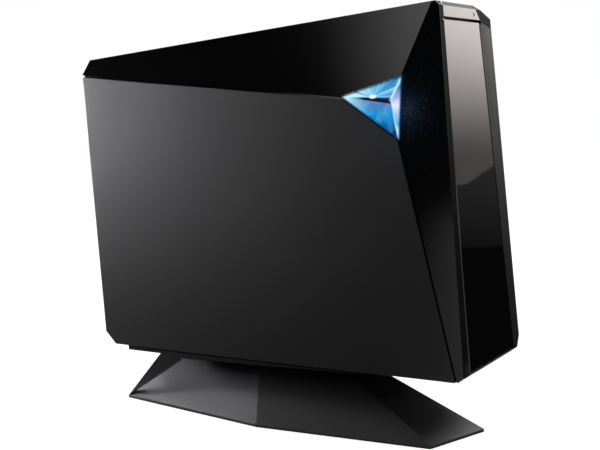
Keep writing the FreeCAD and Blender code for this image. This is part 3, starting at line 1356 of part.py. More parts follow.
# every part by name, in the casing's frame

def casing_parts():
    parts = {
        "casing_left": casing_half(-1),
        "casing_right": casing_half(1),
        "side_panel_left": side_panel(),
        "side_panel_right": side_panel_right(),
        "casing_screws": casing_screws(),
        "front_bezel": front_bezel(),
        "top_strip": top_strip(),
        "lamp_pipe": lamp_pipe(),
        "door_panel": door_panel(),
        "door_carrier": door_carrier(),
        "eject_key": eject_key(),
        "key_frame": key_frame(),
        "key_board": key_board(),
        "key_lead": key_lead(),
        "rear_panel": rear_panel(),
        "bridge_board": bridge_board(),
        "bridge_screws": bridge_screws(),
        "usb_socket": usb_socket(),
        "dc_jack": dc_jack(),
        "drive_screws": drive_screws(),
    }
    return parts


def drive_parts():
    return {
        "drive_chassis": drive_chassis(),
        "drive_cover": drive_cover(),
        "loader_frame": loader_frame(),
        "disc_tray": disc_tray(),
        "tray_pinion": tray_pinion(),
        "pulley_gear": pulley_gear(),
        "motor_pulley": motor_pulley(),
        "drive_belt": drive_belt(),
        "loading_motor": loading_motor(),
        "cam_slider": cam_slider(),
        "traverse_frame": traverse_frame(),
        "guide_rods": guide_rods(),
        "pickup_sled": pickup_sled(),
        "objective_lens": objective_lens(),
        "lead_screw": lead_screw(),
        "sled_motor": sled_motor(),
        "spindle_motor": spindle_motor(),
        "turntable": turntable(),
        "clamp_bridge": clamp_bridge(),
        "clamp_puck": clamp_puck(),
        "drive_board": drive_board(),
        "board_screws": board_screws(),
    }


def stand_parts():
    return {
        "stand_base": stand_base(),
        "ballast_plate": ballast_plate(),
        "stand_feet": stand_feet(),
        "cradle": cradle(),
        "stand_screws": stand_screws(),
    }


def main():
    os.makedirs("parts", exist_ok=True)
    parts = {}
    for name, shape in casing_parts().items():
        parts[name] = moved(shape, 0, 0, STAND_RISE)
    for name, shape in drive_parts().items():
        parts[name] = moved(upright(shape), 0, 0, STAND_RISE)
    parts.update(stand_parts())
    for name, shape in parts.items():
        shape.exportStep("parts/" + name + ".step")
        box_ = shape.BoundBox
        print("%-18s %2d %s vol %9.1f  x %7.2f %7.2f  y %7.2f %7.2f  z %7.2f %7.2f" % (
            name, len(shape.Solids), shape.isValid(), shape.Volume,
            box_.XMin, box_.XMax, box_.YMin, box_.YMax, box_.ZMin, box_.ZMax))


main()
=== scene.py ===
"""Upright external disc drive on its cut-corner stand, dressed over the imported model."""
import json
import math
import bpy
import bmesh
import numpy as np
from mathutils import Euler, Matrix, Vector


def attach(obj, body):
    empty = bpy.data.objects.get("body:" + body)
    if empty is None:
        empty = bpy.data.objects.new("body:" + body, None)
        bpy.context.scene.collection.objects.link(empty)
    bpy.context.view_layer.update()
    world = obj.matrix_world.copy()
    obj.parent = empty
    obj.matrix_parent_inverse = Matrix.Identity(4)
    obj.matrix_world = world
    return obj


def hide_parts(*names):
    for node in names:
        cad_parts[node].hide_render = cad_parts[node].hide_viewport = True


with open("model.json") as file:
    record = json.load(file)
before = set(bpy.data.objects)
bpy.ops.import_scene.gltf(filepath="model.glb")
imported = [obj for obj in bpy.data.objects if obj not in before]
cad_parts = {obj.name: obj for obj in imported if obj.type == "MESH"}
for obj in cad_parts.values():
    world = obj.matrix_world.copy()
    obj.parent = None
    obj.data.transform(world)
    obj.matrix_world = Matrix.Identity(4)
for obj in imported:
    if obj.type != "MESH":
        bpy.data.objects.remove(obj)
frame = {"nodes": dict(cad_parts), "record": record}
nodes = frame["nodes"]
scene = bpy.context.scene


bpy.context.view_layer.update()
UP = (0.0, 0.0, 1.0)

# ------------------------------------------------------------------ camera
# The camera's place comes from matching the drive's corners in the photograph.
CAMERA_PLACE = (-0.36415564, -0.29150403, 0.14569532)
CAMERA_TURN = (87.54608956, 4.75233335, -53.07064538)   # degrees
LENS_LENGTH = 52.742                                    # mm
LENS_SHIFT = -0.091667                                  # share of the frame's width

lens = bpy.data.cameras.new("photo_camera")
lens.sensor_fit = "HORIZONTAL"
lens.sensor_width = 36.0
lens.lens = LENS_LENGTH
lens.shift_y = LENS_SHIFT
lens.clip_start = 0.01
camera = bpy.data.objects.new("photo_camera", lens)
camera.location = CAMERA_PLACE
camera.rotation_euler = Euler([math.radians(angle) for angle in CAMERA_TURN], "XYZ")
scene.collection.objects.link(camera)
scene.camera = camera
scene.view_settings.view_transform = "Standard"


# ------------------------------------------------------------------ shared surface effects
BROAD_CELLS = 28.0               # slow change of tone and gloss, cells per metre
GRAIN_HEIGHT = 0.00004           # metres from low to high in moulded grain
LINE_HEIGHT = 0.00003            # the same for lines in metal
DUST_CELLS = 900.0               # dust specks per metre
DUST_ON_WALLS = 0.12             # dust on an upright face, as a share of that on a level one
DUST_TONE = (0.16, 0.155, 0.15, 1.0)
GLOSS_SWING = 0.08               # how far the lines in metal move its gloss
ROLLED_LINES = (400.0, 9000.0, 9000.0)   # cells per metre along and across the rolling
COAT_GLOSS = 0.06
COPPER_CELLS = 220.0             # copper runs per metre on a board


def group(name, inputs, outputs):
    """A shader node group with named sockets. Each input is (name, kind, value); each output is (name, kind)."""
    tree = bpy.data.node_groups.new(name, "ShaderNodeTree")
    for label, kind, value in inputs:
        socket = tree.interface.new_socket(label, in_out="INPUT", socket_type="NodeSocket" + kind)
        if value is not None:
            socket.default_value = value
    for label, kind in outputs:
        tree.interface.new_socket(label, in_out="OUTPUT", socket_type="NodeSocket" + kind)
    return tree, tree.nodes.new("NodeGroupInput"), tree.nodes.new("NodeGroupOutput")


def node(tree, kind, **settings):
    """One node with its settings; a, b and c are the values of its first three inputs."""
    made = tree.nodes.new("ShaderNode" + kind)
    for key, value in settings.items():
        if key in ("a", "b", "c"):
            made.inputs["abc".index(key)].default_value = value
        else:
            setattr(made, key, value)
    return made


def spanned(tree, start, stop, low=0.0, high=1.0, **settings):
    """A value taken from start..stop to low..high, and held at the ends."""
    made = node(tree, "MapRange", clamp=True, **settings)
    for label, value in (("From Min", start), ("From Max", stop), ("To Min", low), ("To Max", high)):
        made.inputs[label].default_value = value
    return made


def noise(tree, scale, detail=2.0):
    """A noise pattern with this many cells per metre."""
    made = node(tree, "TexNoise")
    made.inputs["Scale"].default_value = scale
    made.inputs["Detail"].default_value = detail
    return made


def wire(tree, *pairs):
    """Links each (output, input) pair."""
    for source, target in pairs:
        tree.links.new(source, target)


def moulded_grain():
    """Spark-eroded plastic: fine even noise lifts the surface, and a broad slow noise shifts tone and gloss."""
    tree, start, end = group("moulded_grain",
                             [("Grain per metre", "Float", 3000.0), ("Depth", "Float", 0.1),
                              ("Uneven gloss", "Float", 0.05), ("Gloss", "Float", 0.4)],
                             [("Tone", "Float"), ("Roughness", "Float"), ("Normal", "Vector")])
    place = node(tree, "TexCoord")
    fine = noise(tree, 1.0)
    broad = noise(tree, BROAD_CELLS, 4.0)
    lift = node(tree, "Bump")
    lift.inputs["Distance"].default_value = GRAIN_HEIGHT
    centred = node(tree, "Math", operation="SUBTRACT", b=0.5)
    spread = node(tree, "Math", operation="MULTIPLY")
    rough = node(tree, "Math", operation="ADD")
    tone = node(tree, "Mix", data_type="FLOAT")
    tone.inputs[0].default_value = 0.5
    wire(tree, (place.outputs["Object"], fine.inputs["Vector"]), (place.outputs["Object"], broad.inputs["Vector"]),
         (start.outputs["Grain per metre"], fine.inputs["Scale"]), (start.outputs["Depth"], lift.inputs["Strength"]),
         (fine.outputs["Fac"], lift.inputs["Height"]), (broad.outputs["Fac"], centred.inputs[0]),
         (centred.outputs[0], spread.inputs[0]), (start.outputs["Uneven gloss"], spread.inputs[1]),
         (spread.outputs[0], rough.inputs[0]), (start.outputs["Gloss"], rough.inputs[1]),
         (fine.outputs["Fac"], tone.inputs[2]), (broad.outputs["Fac"], tone.inputs[3]),
         (tone.outputs[0], end.inputs["Tone"]), (rough.outputs[0], end.inputs["Roughness"]),
         (lift.outputs["Normal"], end.inputs["Normal"]))
    return tree


def settled_dust():
    """A thin film of dust: speckle, thicker on faces that look up, where the true normal's height is near 1."""
    tree, start, end = group("settled_dust", [("Amount", "Float", 0.3)], [("Mask", "Float")])
    place = node(tree, "TexCoord")
    shape = node(tree, "NewGeometry")
    part = node(tree, "SeparateXYZ")
    up = spanned(tree, 0.2, 1.0, low=DUST_ON_WALLS)
    specks = noise(tree, DUST_CELLS, 5.0)
    sharp = spanned(tree, 0.52, 0.8)
    both = node(tree, "Math", operation="MULTIPLY")
    scaled = node(tree, "Math", operation="MULTIPLY")
    wire(tree, (place.outputs["Object"], specks.inputs["Vector"]), (shape.outputs["True Normal"], part.inputs[0]),
         (part.outputs["Z"], up.inputs["Value"]),
         (specks.outputs["Fac"], sharp.inputs["Value"]), (sharp.outputs["Result"], both.inputs[0]),
         (up.outputs["Result"], both.inputs[1]),
         (both.outputs[0], scaled.inputs[0]), (start.outputs["Amount"], scaled.inputs[1]),
         (scaled.outputs[0], end.inputs["Mask"]))
    return tree


def rolled_sheet():
    """Rolled or drawn metal: noise over place times stretch gives long faint lines in gloss and height."""
    tree, start, end = group("rolled_sheet",
                             [("Stretch", "Vector", ROLLED_LINES), ("Depth", "Float", 0.1), ("Gloss", "Float", 0.35)],
                             [("Tone", "Float"), ("Roughness", "Float"), ("Normal", "Vector")])
    place = node(tree, "TexCoord")
    pull = node(tree, "VectorMath", operation="MULTIPLY")
    lines = noise(tree, 1.0, 3.0)
    lift = node(tree, "Bump")
    lift.inputs["Distance"].default_value = LINE_HEIGHT
    swing = spanned(tree, 0.0, 1.0, -GLOSS_SWING, GLOSS_SWING)
    rough = node(tree, "Math", operation="ADD")
    wire(tree, (place.outputs["Object"], pull.inputs[0]), (start.outputs["Stretch"], pull.inputs[1]),
         (pull.outputs[0], lines.inputs["Vector"]),
         (lines.outputs["Fac"], lift.inputs["Height"]), (start.outputs["Depth"], lift.inputs["Strength"]),
         (lines.outputs["Fac"], swing.inputs["Value"]),
         (swing.outputs["Result"], rough.inputs[0]), (start.outputs["Gloss"], rough.inputs[1]),
         (lines.outputs["Fac"], end.inputs["Tone"]), (rough.outputs[0], end.inputs["Roughness"]),
         (lift.outputs["Normal"], end.inputs["Normal"]))
    return tree


GRAIN, DUST, SHEET = moulded_grain(), settled_dust(), rolled_sheet()


def placed(tree, shared, **values):
    """A shared effect placed in a material; each value's name is the socket's name with _ for a space."""
    made = tree.nodes.new("ShaderNodeGroup")
    made.node_tree = shared
    for key, value in values.items():
        made.inputs[key.replace("_", " ")].default_value = value
    return made


def material(name):
    """An empty material with its shader: (material, tree, Principled BSDF)."""
    made = bpy.data.materials.new(name)
    made.use_nodes = True
    return made, made.node_tree, made.node_tree.nodes["Principled BSDF"]


def tones(tree, factor, low, high):
    """A colour between low and high, as the factor goes from 0 to 1."""
    mix = node(tree, "Mix", data_type="RGBA")
    mix.inputs["A"].default_value = (*low, 1.0)
    mix.inputs["B"].default_value = (*high, 1.0)
    wire(tree, (factor, mix.inputs["Factor"]))
    return mix.outputs["Result"]


def plastic(name, low, high, gloss, grain=3000.0, depth=0.1, uneven=0.05, dust=0.2, level=0.5, coat=0.0):
    """Moulded plastic between two close tones with grain, uneven gloss and settled dust."""
    made, tree, shader = material(name)
    surface = placed(tree, GRAIN, Grain_per_metre=grain, Depth=depth, Uneven_gloss=uneven, Gloss=gloss)
    film = placed(tree, DUST, Amount=dust)
    colour = node(tree, "Mix", data_type="RGBA")
    colour.inputs["B"].default_value = DUST_TONE
    wire(tree, (tones(tree, surface.outputs["Tone"], low, high), colour.inputs["A"]),
         (film.outputs["Mask"], colour.inputs["Factor"]),
         (colour.outputs["Result"], shader.inputs["Base Color"]),
         (surface.outputs["Roughness"], shader.inputs["Roughness"]),
         (surface.outputs["Normal"], shader.inputs["Normal"]))
    shader.inputs["Specular IOR Level"].default_value = level
    shader.inputs["Coat Weight"].default_value = coat
    shader.inputs["Coat Roughness"].default_value = COAT_GLOSS
    return made


def metal(name, low, high, gloss, stretch=ROLLED_LINES, depth=0.1):
    """Sheet or turned metal with lines along its rolling direction."""
    made, tree, shader = material(name)
    surface = placed(tree, SHEET, Stretch=stretch, Depth=depth, Gloss=gloss)
    wire(tree, (tones(tree, surface.outputs["Tone"], low, high), shader.inputs["Base Color"]),
         (surface.outputs["Roughness"], shader.inputs["Roughness"]),
         (surface.outputs["Normal"], shader.inputs["Normal"]))
    shader.inputs["Metallic"].default_value = 1.0
    return made


def circuit_board():
    """Green lacquered board: copper runs show as lighter bands where a stepped grid noise is high."""
    made, tree, shader = material("circuit_board")
    place = node(tree, "TexCoord")
    cells = node(tree, "TexVoronoi", distance="MANHATTAN")
    cells.inputs["Scale"].default_value = COPPER_CELLS
    step = spanned(tree, 0.30, 0.34)
    surface = placed(tree, GRAIN, Grain_per_metre=1500.0, Depth=0.05, Uneven_gloss=0.06, Gloss=0.32)
    wire(tree, (place.outputs["Object"], cells.inputs["Vector"]), (cells.outputs["Distance"], step.inputs["Value"]),
         (tones(tree, step.outputs["Result"], (0.012, 0.085, 0.035), (0.03, 0.16, 0.06)),
          shader.inputs["Base Color"]),
         (surface.outputs["Roughness"], shader.inputs["Roughness"]),
         (surface.outputs["Normal"], shader.inputs["Normal"]))
    return made


finishes = {
    "casing": plastic("casing_gloss_black", (0.0004, 0.0004, 0.0005), (0.0010, 0.0010, 0.0011),
                      0.12, grain=1800.0, depth=0.02, uneven=0.05, dust=0.12, level=0.35),
    "side_panel": plastic("panel_satin_black", (0.0016, 0.0016, 0.0018), (0.0036, 0.0036, 0.0038),
                          0.36, grain=5200.0, depth=0.2, uneven=0.05, dust=0.06, level=0.38),
    "door": plastic("door_gloss_black", (0.0012, 0.0012, 0.0012), (0.0025, 0.0025, 0.0025),
                    0.04, grain=1500.0, depth=0.015, uneven=0.03, dust=0.08, level=0.5),
    "bezel": plastic("bezel_satin_black", (0.0012, 0.0012, 0.0012), (0.0028, 0.0028, 0.0028),
                     0.44, grain=4200.0, depth=0.12, uneven=0.05, dust=0.08, level=0.07),
    "ear": plastic("ear_matt_black", (0.001, 0.001, 0.001), (0.002, 0.002, 0.002),
                   0.5, grain=4200.0, depth=0.12, uneven=0.05, dust=0.05, level=0.008),
    "stand": plastic("stand_satin_black", (0.0018, 0.0018, 0.002), (0.0042, 0.0042, 0.0045),
                     0.36, grain=4200.0, depth=0.15, uneven=0.05, dust=0.06, level=0.2),
    "rubber": plastic("foot_rubber", (0.008, 0.008, 0.008), (0.016, 0.016, 0.016),
                      0.75, grain=2600.0, depth=0.4, uneven=0.1, dust=0.5, level=0.3),
    "socket": plastic("socket_shell", (0.004, 0.004, 0.004), (0.008, 0.008, 0.008),
                      0.5, grain=2600.0, depth=0.1, dust=0.05, level=0.03),
    "lead": plastic("lead_jacket", (0.02, 0.02, 0.022), (0.035, 0.035, 0.04), 0.5, grain=2200.0, depth=0.15),
    "tray": plastic("tray_grey", (0.05, 0.052, 0.055), (0.075, 0.078, 0.082),
                    0.38, grain=3600.0, depth=0.15, dust=0.4),
    "gear": plastic("gear_acetal", (0.55, 0.54, 0.5), (0.68, 0.67, 0.63), 0.35, grain=2400.0, depth=0.08, dust=0.1),
    "lamp": plastic("lamp_clear_smoke", (0.03, 0.035, 0.045), (0.05, 0.06, 0.075),
                    0.12, grain=1200.0, depth=0.02, coat=0.5),
    "lens": plastic("lens_amber", (0.18, 0.06, 0.02), (0.26, 0.1, 0.03), 0.08, grain=900.0, depth=0.01, coat=1.0),
    "steel": metal("plated_sheet_steel", (0.42, 0.43, 0.42), (0.58, 0.58, 0.56), 0.36),
    "screw": metal("screw_steel", (0.32, 0.32, 0.31), (0.48, 0.48, 0.46), 0.3, stretch=(5000.0, 5000.0, 5000.0)),
    "spindle": metal("turned_spindle", (0.55, 0.55, 0.54), (0.7, 0.7, 0.68), 0.22, stretch=(9000.0, 900.0, 900.0)),
    "board": circuit_board(),
}

# ------------------------------------------------------------------ crystal, its glow painted as emission
# Its corners in the side view, as (y, z) in metres; its three faces meet at the peak.
REAR_POINT, TOP_POINT, FOOT_POINT = (-0.0646, 0.1604), (-0.0969, 0.1666), (-0.0937, 0.1384)
PEAK = (-0.09067, 0.15626)
# Painted shade: a dark line round the stone's rim stands for the shadowed gap of its seat.
RIM = 0.0010             # half width of the dark rim, metres
# Painted light: the upper face carries painted light rays and painted dark rays that fan out from a point near the
# ridge.
FAN_SHARE = 0.66         # the rays start this far from the rear point to the peak
FAN_RISE = 0.0012        # and this far above that ridge
# Painted shade: the dark cut face is painted into the glow between these bounds.
WEDGE_RISE = 0.0012      # the dark cut face reaches this far above the peak
WEDGE_DROP = 0.0013      # and this far below it
WEDGE_EDGE = 0.0002      # half width of its soft edge
FACE_EDGE = (-0.0001, 0.0003)   # where one face gives way to the next
# Painted highlight: a white glint painted where the rays meet.
PAINTED_GLINT_REACH = (0.0024, 0.0010)  # outer and inner reach of the bright spot
PAINTED_GLINT_FLAT = 2.2         # how many times wider than high it is


def along(tree, place, start, heading, low, high):
    """How far a point lies from start towards heading in the side view, as 0 at low metres and 1 at high metres."""
    off = node(tree, "VectorMath", operation="SUBTRACT", b=(0.0, *start))
    dot = node(tree, "VectorMath", operation="DOT_PRODUCT", b=(0.0, *Vector(heading).normalized()))
    scale = spanned(tree, low, high)
    wire(tree, (place, off.inputs[0]), (off.outputs[0], dot.inputs[0]), (dot.outputs["Value"], scale.inputs["Value"]))
    return scale.outputs["Result"]


def square_to(first, second):
    """The direction square to the line from first to second in the side view, a quarter turn anticlockwise."""
    return (first[1] - second[1], second[0] - first[0])


def overlay(tree, below, mask, colour):
    """The colour laid over what is below it, where the mask is 1."""
    mix = node(tree, "Mix", data_type="RGBA")
    if isinstance(colour, tuple):
        mix.inputs["B"].default_value = (*colour, 1.0)
    else:
        wire(tree, (colour, mix.inputs["B"]))
    wire(tree, (below, mix.inputs["A"]), (mask, mix.inputs["Factor"]))
    return mix.outputs["Result"]


def times(tree, first, *others):
    """Masks and numbers multiplied."""
    for other in others:
        made = node(tree, "Math", operation="MULTIPLY")
        wire(tree, (first, made.inputs[0]))
        if isinstance(other, float):
            made.inputs[1].default_value = other
        else:
            wire(tree, (other, made.inputs[1]))
        first = made.outputs[0]
    return first


def flipped(tree, mask):
    """1 where the mask is 0."""
    made = node(tree, "Math", operation="SUBTRACT", a=1.0)
    wire(tree, (mask, made.inputs[1]))
    return made.outputs[0]


def edge_line(tree, place, first, second, half):
    """A thin line from first to second in the side view: 1 on the line, 0 from half metres off it."""
    across = square_to(first, second)
    up = along(tree, place, first, across, -half, 0.0)
    down = along(tree, place, first, across, half, 0.0)
    return times(tree, up, down)


def banded(tree, value, *stops):
    """A colour that runs through the stops, each (place, colour), as the value goes from 0 to 1."""
    ramp = node(tree, "ValToRGB")
    points = ramp.color_ramp.elements
    while len(points) < len(stops):
        points.new(0.5)
    for point, (spot, colour) in zip(points, stops):
        point.position = spot
        point.color = (*colour, 1.0)
    wire(tree, (value, ramp.inputs["Fac"]))
    return ramp.outputs["Color"]


def crystal_painted_glow():
    """Clear stone lit from below, its light painted as emission: a painted blue on each face, painted light rays over
    the upper face, painted highlights on the edges, and painted shade at the rim and the cut face.
    """
    made, tree, shader = material("crystal_painted_glow")
    place = node(tree, "TexCoord").outputs["Object"]
    fan = tuple(r + FAN_SHARE * (p - r) + rise for r, p, rise in zip(REAR_POINT, PEAK, (0.0, FAN_RISE)))
    centre = node(tree, "VectorMath", operation="SUBTRACT", b=(0.0, *fan))
    flat = node(tree, "VectorMath", operation="MULTIPLY", b=(0.0, 1.0, 1.0))
    unit = node(tree, "VectorMath", operation="NORMALIZE")
    rays = noise(tree, 7.0)
    painted_ray_light = spanned(tree, 0.50, 0.62)
    painted_ray_shade = spanned(tree, 0.42, 0.34)
    cloud = noise(tree, 210.0)
    # Painted light: lighter patches laid over the glow of the lower and front faces.
    painted_glow_patch = spanned(tree, 0.45, 0.80)
    wide = node(tree, "VectorMath", operation="MULTIPLY", b=(1.0, 1.0, PAINTED_GLINT_FLAT))
    reach = node(tree, "VectorMath", operation="LENGTH")
    painted_glint = spanned(tree, *PAINTED_GLINT_REACH)
    wire(tree, (place, centre.inputs[0]), (centre.outputs[0], flat.inputs[0]),
         (flat.outputs[0], unit.inputs[0]), (unit.outputs[0], rays.inputs["Vector"]),
         (rays.outputs["Fac"], painted_ray_light.inputs["Value"]), (rays.outputs["Fac"], painted_ray_shade.inputs["Value"]),
         (place, cloud.inputs["Vector"]), (cloud.outputs["Fac"], painted_glow_patch.inputs["Value"]),
         (flat.outputs[0], wide.inputs[0]), (wide.outputs[0], reach.inputs[0]),
         (reach.outputs["Value"], painted_glint.inputs["Value"]))
    ridge_up = square_to(PEAK, REAR_POINT)
    ridge_down = (-ridge_up[0], -ridge_up[1])
    ridge = (PEAK[0] - REAR_POINT[0], PEAK[1] - REAR_POINT[1])

    def from_rear(low, high):
        return along(tree, place, REAR_POINT, ridge, low, high)

    def laid(below, mask, share, tone):
        return overlay(tree, below, times(tree, mask, share), tone)

    # Painted light: each face's glow is painted in bands of lighter and darker blue; on the upper and lower faces it
    # is brightest towards the rear point.
    upper = banded(tree, from_rear(0.0, 0.032), (0.0, (0.60, 0.95, 1.0)), (0.30, (0.50, 0.88, 1.0)),
                   (0.55, (0.12, 0.55, 0.90)), (0.75, (0.02, 0.36, 0.74)), (1.0, (0.005, 0.13, 0.34)))
    upper = laid(upper, along(tree, place, PEAK, ridge_up, 0.0015, 0.0085), 0.7, (0.03, 0.30, 0.52))
    # Painted light rays and painted shade rays over the upper face.
    upper = laid(upper, painted_ray_light.outputs["Result"], 0.6, (0.55, 0.85, 1.0))
    upper = laid(upper, painted_ray_shade.outputs["Result"], 0.75, (0.004, 0.11, 0.26))
    lower = banded(tree, along(tree, place, PEAK, ridge_down, 0.0, 0.014), (0.0, (0.13, 0.17, 0.48)),
                   (0.22, (0.07, 0.22, 0.52)), (0.42, (0.0, 0.28, 0.66)), (0.7, (0.0, 0.17, 0.50)),
                   (1.0, (0.0, 0.05, 0.20)))
    lower = overlay(tree, lower, flipped(tree, from_rear(0.004, 0.015)), (0.36, 0.78, 0.98))
    lower = laid(lower, painted_glow_patch.outputs["Result"], 0.35, (0.22, 0.66, 0.85))
    front = banded(tree, along(tree, place, TOP_POINT, (0.0, -1.0), 0.0, 0.027), (0.0, (0.10, 0.34, 0.55)),
                   (0.18, (0.06, 0.22, 0.42)), (0.34, (0.40, 0.42, 0.78)), (0.46, (0.75, 0.86, 1.0)),
                   (0.62, (0.34, 0.56, 0.80)), (0.78, (0.04, 0.48, 0.75)), (0.93, (0.75, 0.95, 1.0)),
                   (1.0, (0.10, 0.40, 0.70)))
    front = laid(front, painted_glow_patch.outputs["Result"], 0.4, (0.60, 0.78, 0.95))
    is_lower = along(tree, place, PEAK, ridge_down, *FACE_EDGE)
    is_front = times(tree, along(tree, place, PEAK, square_to(PEAK, TOP_POINT), *FACE_EDGE),
                     along(tree, place, PEAK, square_to(FOOT_POINT, PEAK), *FACE_EDGE))
    colour = overlay(tree, upper, is_lower, lower)
    # Painted highlight: a pale glow painted near the rear point.
    colour = laid(colour, flipped(tree, from_rear(0.001, 0.006)), 0.9, (0.66, 0.95, 1.0))
    # Painted shade: the dark cut face between the two long ridges is painted into the glow.
    wedge_top, wedge_foot = (PEAK[0], PEAK[1] + WEDGE_RISE), (PEAK[0], PEAK[1] - WEDGE_DROP)
    under_top = along(tree, place, REAR_POINT, square_to(REAR_POINT, wedge_top), -WEDGE_EDGE, WEDGE_EDGE)
    over_foot = along(tree, place, REAR_POINT, square_to(wedge_foot, REAR_POINT), -WEDGE_EDGE, WEDGE_EDGE)
    colour = overlay(tree, colour, times(tree, under_top, over_foot, from_rear(0.004, 0.012)), (0.0, 0.003, 0.018))
    colour = overlay(tree, colour, is_front, front)
    # Painted highlights: the two bright edges that run up and down from the peak.
    rising = along(tree, place, PEAK, (0.0, 1.0), -0.0005, 0.001)
    colour = laid(colour, edge_line(tree, place, PEAK, TOP_POINT, 0.0009), rising, (0.55, 0.92, 1.0))
    falling = along(tree, place, PEAK, (0.0, -1.0), 0.003, 0.012)
    colour = laid(colour, edge_line(tree, place, PEAK, FOOT_POINT, 0.0006), falling, (0.70, 0.92, 1.0))
    # Painted highlight: the white glint, on every face but the lower one.
    colour = laid(colour, painted_glint.outputs["Result"], flipped(tree, is_lower), (1.0, 1.0, 1.0))
    # Painted shade: the stone's rim sits in its dark seat, painted as a dark line round the edge of the glow.
    for first, second in ((REAR_POINT, TOP_POINT), (TOP_POINT, FOOT_POINT), (FOOT_POINT, REAR_POINT)):
        colour = overlay(tree, colour, edge_line(tree, place, first, second, RIM), (0.001, 0.01, 0.06))
    wire(tree, (colour, shader.inputs["Emission Color"]))
    wire(tree, (tones(tree, cloud.outputs["Fac"], (0.0005, 0.001, 0.003), (0.001, 0.002, 0.006)),
                shader.inputs["Base Color"]))
    surface = placed(tree, GRAIN, Grain_per_metre=700.0, Depth=0.02, Uneven_gloss=0.03, Gloss=0.08)
    wire(tree, (surface.outputs["Roughness"], shader.inputs["Roughness"]),
         (surface.outputs["Normal"], shader.inputs["Normal"]))
    shader.inputs["Specular IOR Level"].default_value = 0.2
    shader.inputs["Emission Strength"].default_value = 1.0
    return made


finishes["crystal"] = crystal_painted_glow()

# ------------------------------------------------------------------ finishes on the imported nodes
slot_of = {part["node"]: part["material_slot"] for part in frame["record"]["subparts"]}
for name, piece in nodes.items():
    piece.data.materials.clear()
    piece.data.materials.append(finishes[slot_of[name]])


# The front's right side. Each edge: its x at the foot, the foot's z, and how far it leans in per metre of height.
DOOR_EDGE = (0.02307, 0.0345, 0.0622)
OUTER_EDGE = (0.0287, 0.0342, 0.0216)
FRONT_DEPTH = -0.1129            # points in front of this y move
DOOR_OUT, OUTER_OUT, OUTER_FORWARD = 0.0020, 0.0012, 0.0009
FOOT_Z, CUT_Z, TOP_Z = 0.034, 0.040, 0.190   # the foot, the top of its cut corner, and where the lean starts


def leaning(edge, z):
    """An edge's x at height z: its x at the foot, less its lean times the height above it."""
    x, foot, lean = edge
    return x - lean * (z - foot)


def right_edge(points):
    """The front's right side: points move out and, at the outer edge, forward, more and more from top to foot.

    The share goes straight from 0 at the top to 1 at the foot. The outer corner stays at the foot itself, which
    leaves the corner cut."""
    x, y, z = points.T
    inner, outer = leaning(DOOR_EDGE, z), leaning(OUTER_EDGE, z)
    across = np.clip((x - inner) / (outer - inner), 0.0, 1.0)
    near = (y < FRONT_DEPTH) & (x > inner - 0.002)
    edge = across * np.interp(z, (FOOT_Z, CUT_Z, TOP_Z), (0.0, 1.0, 0.0)) * near
    mouth = (1.0 - across) * np.interp(z, (FOOT_Z, TOP_Z), (1.0, 0.0)) * near
    return np.stack([x + OUTER_OUT * edge + DOOR_OUT * mouth, y - OUTER_FORWARD * edge, z], -1)


def softened(name, width, body="housing", angle=25.0, rings=(), reshape=None):
    """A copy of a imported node, its points merged and its edges sharper than angle rounded by width, in its place.

    The rings are heights where points are added round it, and reshape moves its points."""
    mesh = nodes[name].data.copy()
    work = bmesh.new()
    work.from_mesh(mesh)
    bmesh.ops.remove_doubles(work, verts=work.verts, dist=1e-6)
    bmesh.ops.dissolve_limit(work, angle_limit=math.radians(0.5), verts=work.verts, edges=work.edges)
    for ring in rings:
        everything = work.verts[:] + work.edges[:] + work.faces[:]
        bmesh.ops.bisect_plane(work, geom=everything, plane_co=(0.0, 0.0, ring), plane_no=UP)
    work.to_mesh(mesh)
    work.free()
    if reshape is not None:
        points = np.empty(3 * len(mesh.vertices), np.float32)
        mesh.vertices.foreach_get("co", points)
        mesh.vertices.foreach_set("co", reshape(points.reshape(-1, 3)).ravel())
    piece = bpy.data.objects.new(name + "_finish", mesh)
    scene.collection.objects.link(piece)
    edge = piece.modifiers.new("rounded_edges", "BEVEL")
    edge.width = width
    edge.segments = 2
    edge.limit_method = "ANGLE"
    edge.angle_limit = math.radians(angle)
    edge.harden_normals = True
    mesh.shade_smooth()
    mesh.set_sharp_from_angle(angle=math.radians(angle))
    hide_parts(name)
    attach(piece, body)
    return piece


def refinished(piece, finish, low, high):
    """Gives the piece's faces whose middles lie in the box from low to high another finish."""
    mesh = piece.data
    middles = np.empty(3 * len(mesh.polygons), np.float32)
    mesh.polygons.foreach_get("center", middles)
    inside = np.all((middles.reshape(-1, 3) > low) & (middles.reshape(-1, 3) < high), axis=1)
    picked = np.empty(len(mesh.polygons), np.int32)
    mesh.polygons.foreach_get("material_index", picked)
    mesh.materials.append(finish)
    picked[inside] = len(mesh.materials) - 1
    mesh.polygons.foreach_set("material_index", picked)


# Parts of pieces with another finish, each a box from low to high in metres; on the cradle's top band that finish is
# painted shade.
LEFT_RIM = ((-0.030, -0.120, 0.030), (-0.020, -0.1155, 0.200))
LEFT_RIM_DEEP = ((-0.030, -0.120, 0.030), (-0.020, -0.1125, 0.200))
RIGHT_STRIP = ((0.014, -0.120, 0.030), (0.030, -0.1155, 0.1872))
RIGHT_EAR = ((0.009, -0.120, 0.1872), (0.030, -0.1155, 0.200))
REAR_EDGES = ((-0.035, 0.1145, 0.030), (0.035, 0.120, 0.200))
REAR_FACE = ((-0.035, 0.100, 0.030), (0.035, 0.120, 0.200))
STAND_RIM = ((-0.1, -0.15, -0.001), (0.1, 0.15, 0.0015))
CRADLE_PAINTED_SHADOW_GAP = ((-0.030, -0.070, 0.0309), (0.030, 0.101, 0.0319))
CUT_RING, EAR_RING, STAND_RING, CRADLE_RING = 0.040, 0.1872, 0.0016, 0.0309   # heights of added points
CREASE = 4.0                     # degrees: the casing's shallow creases stay sharp

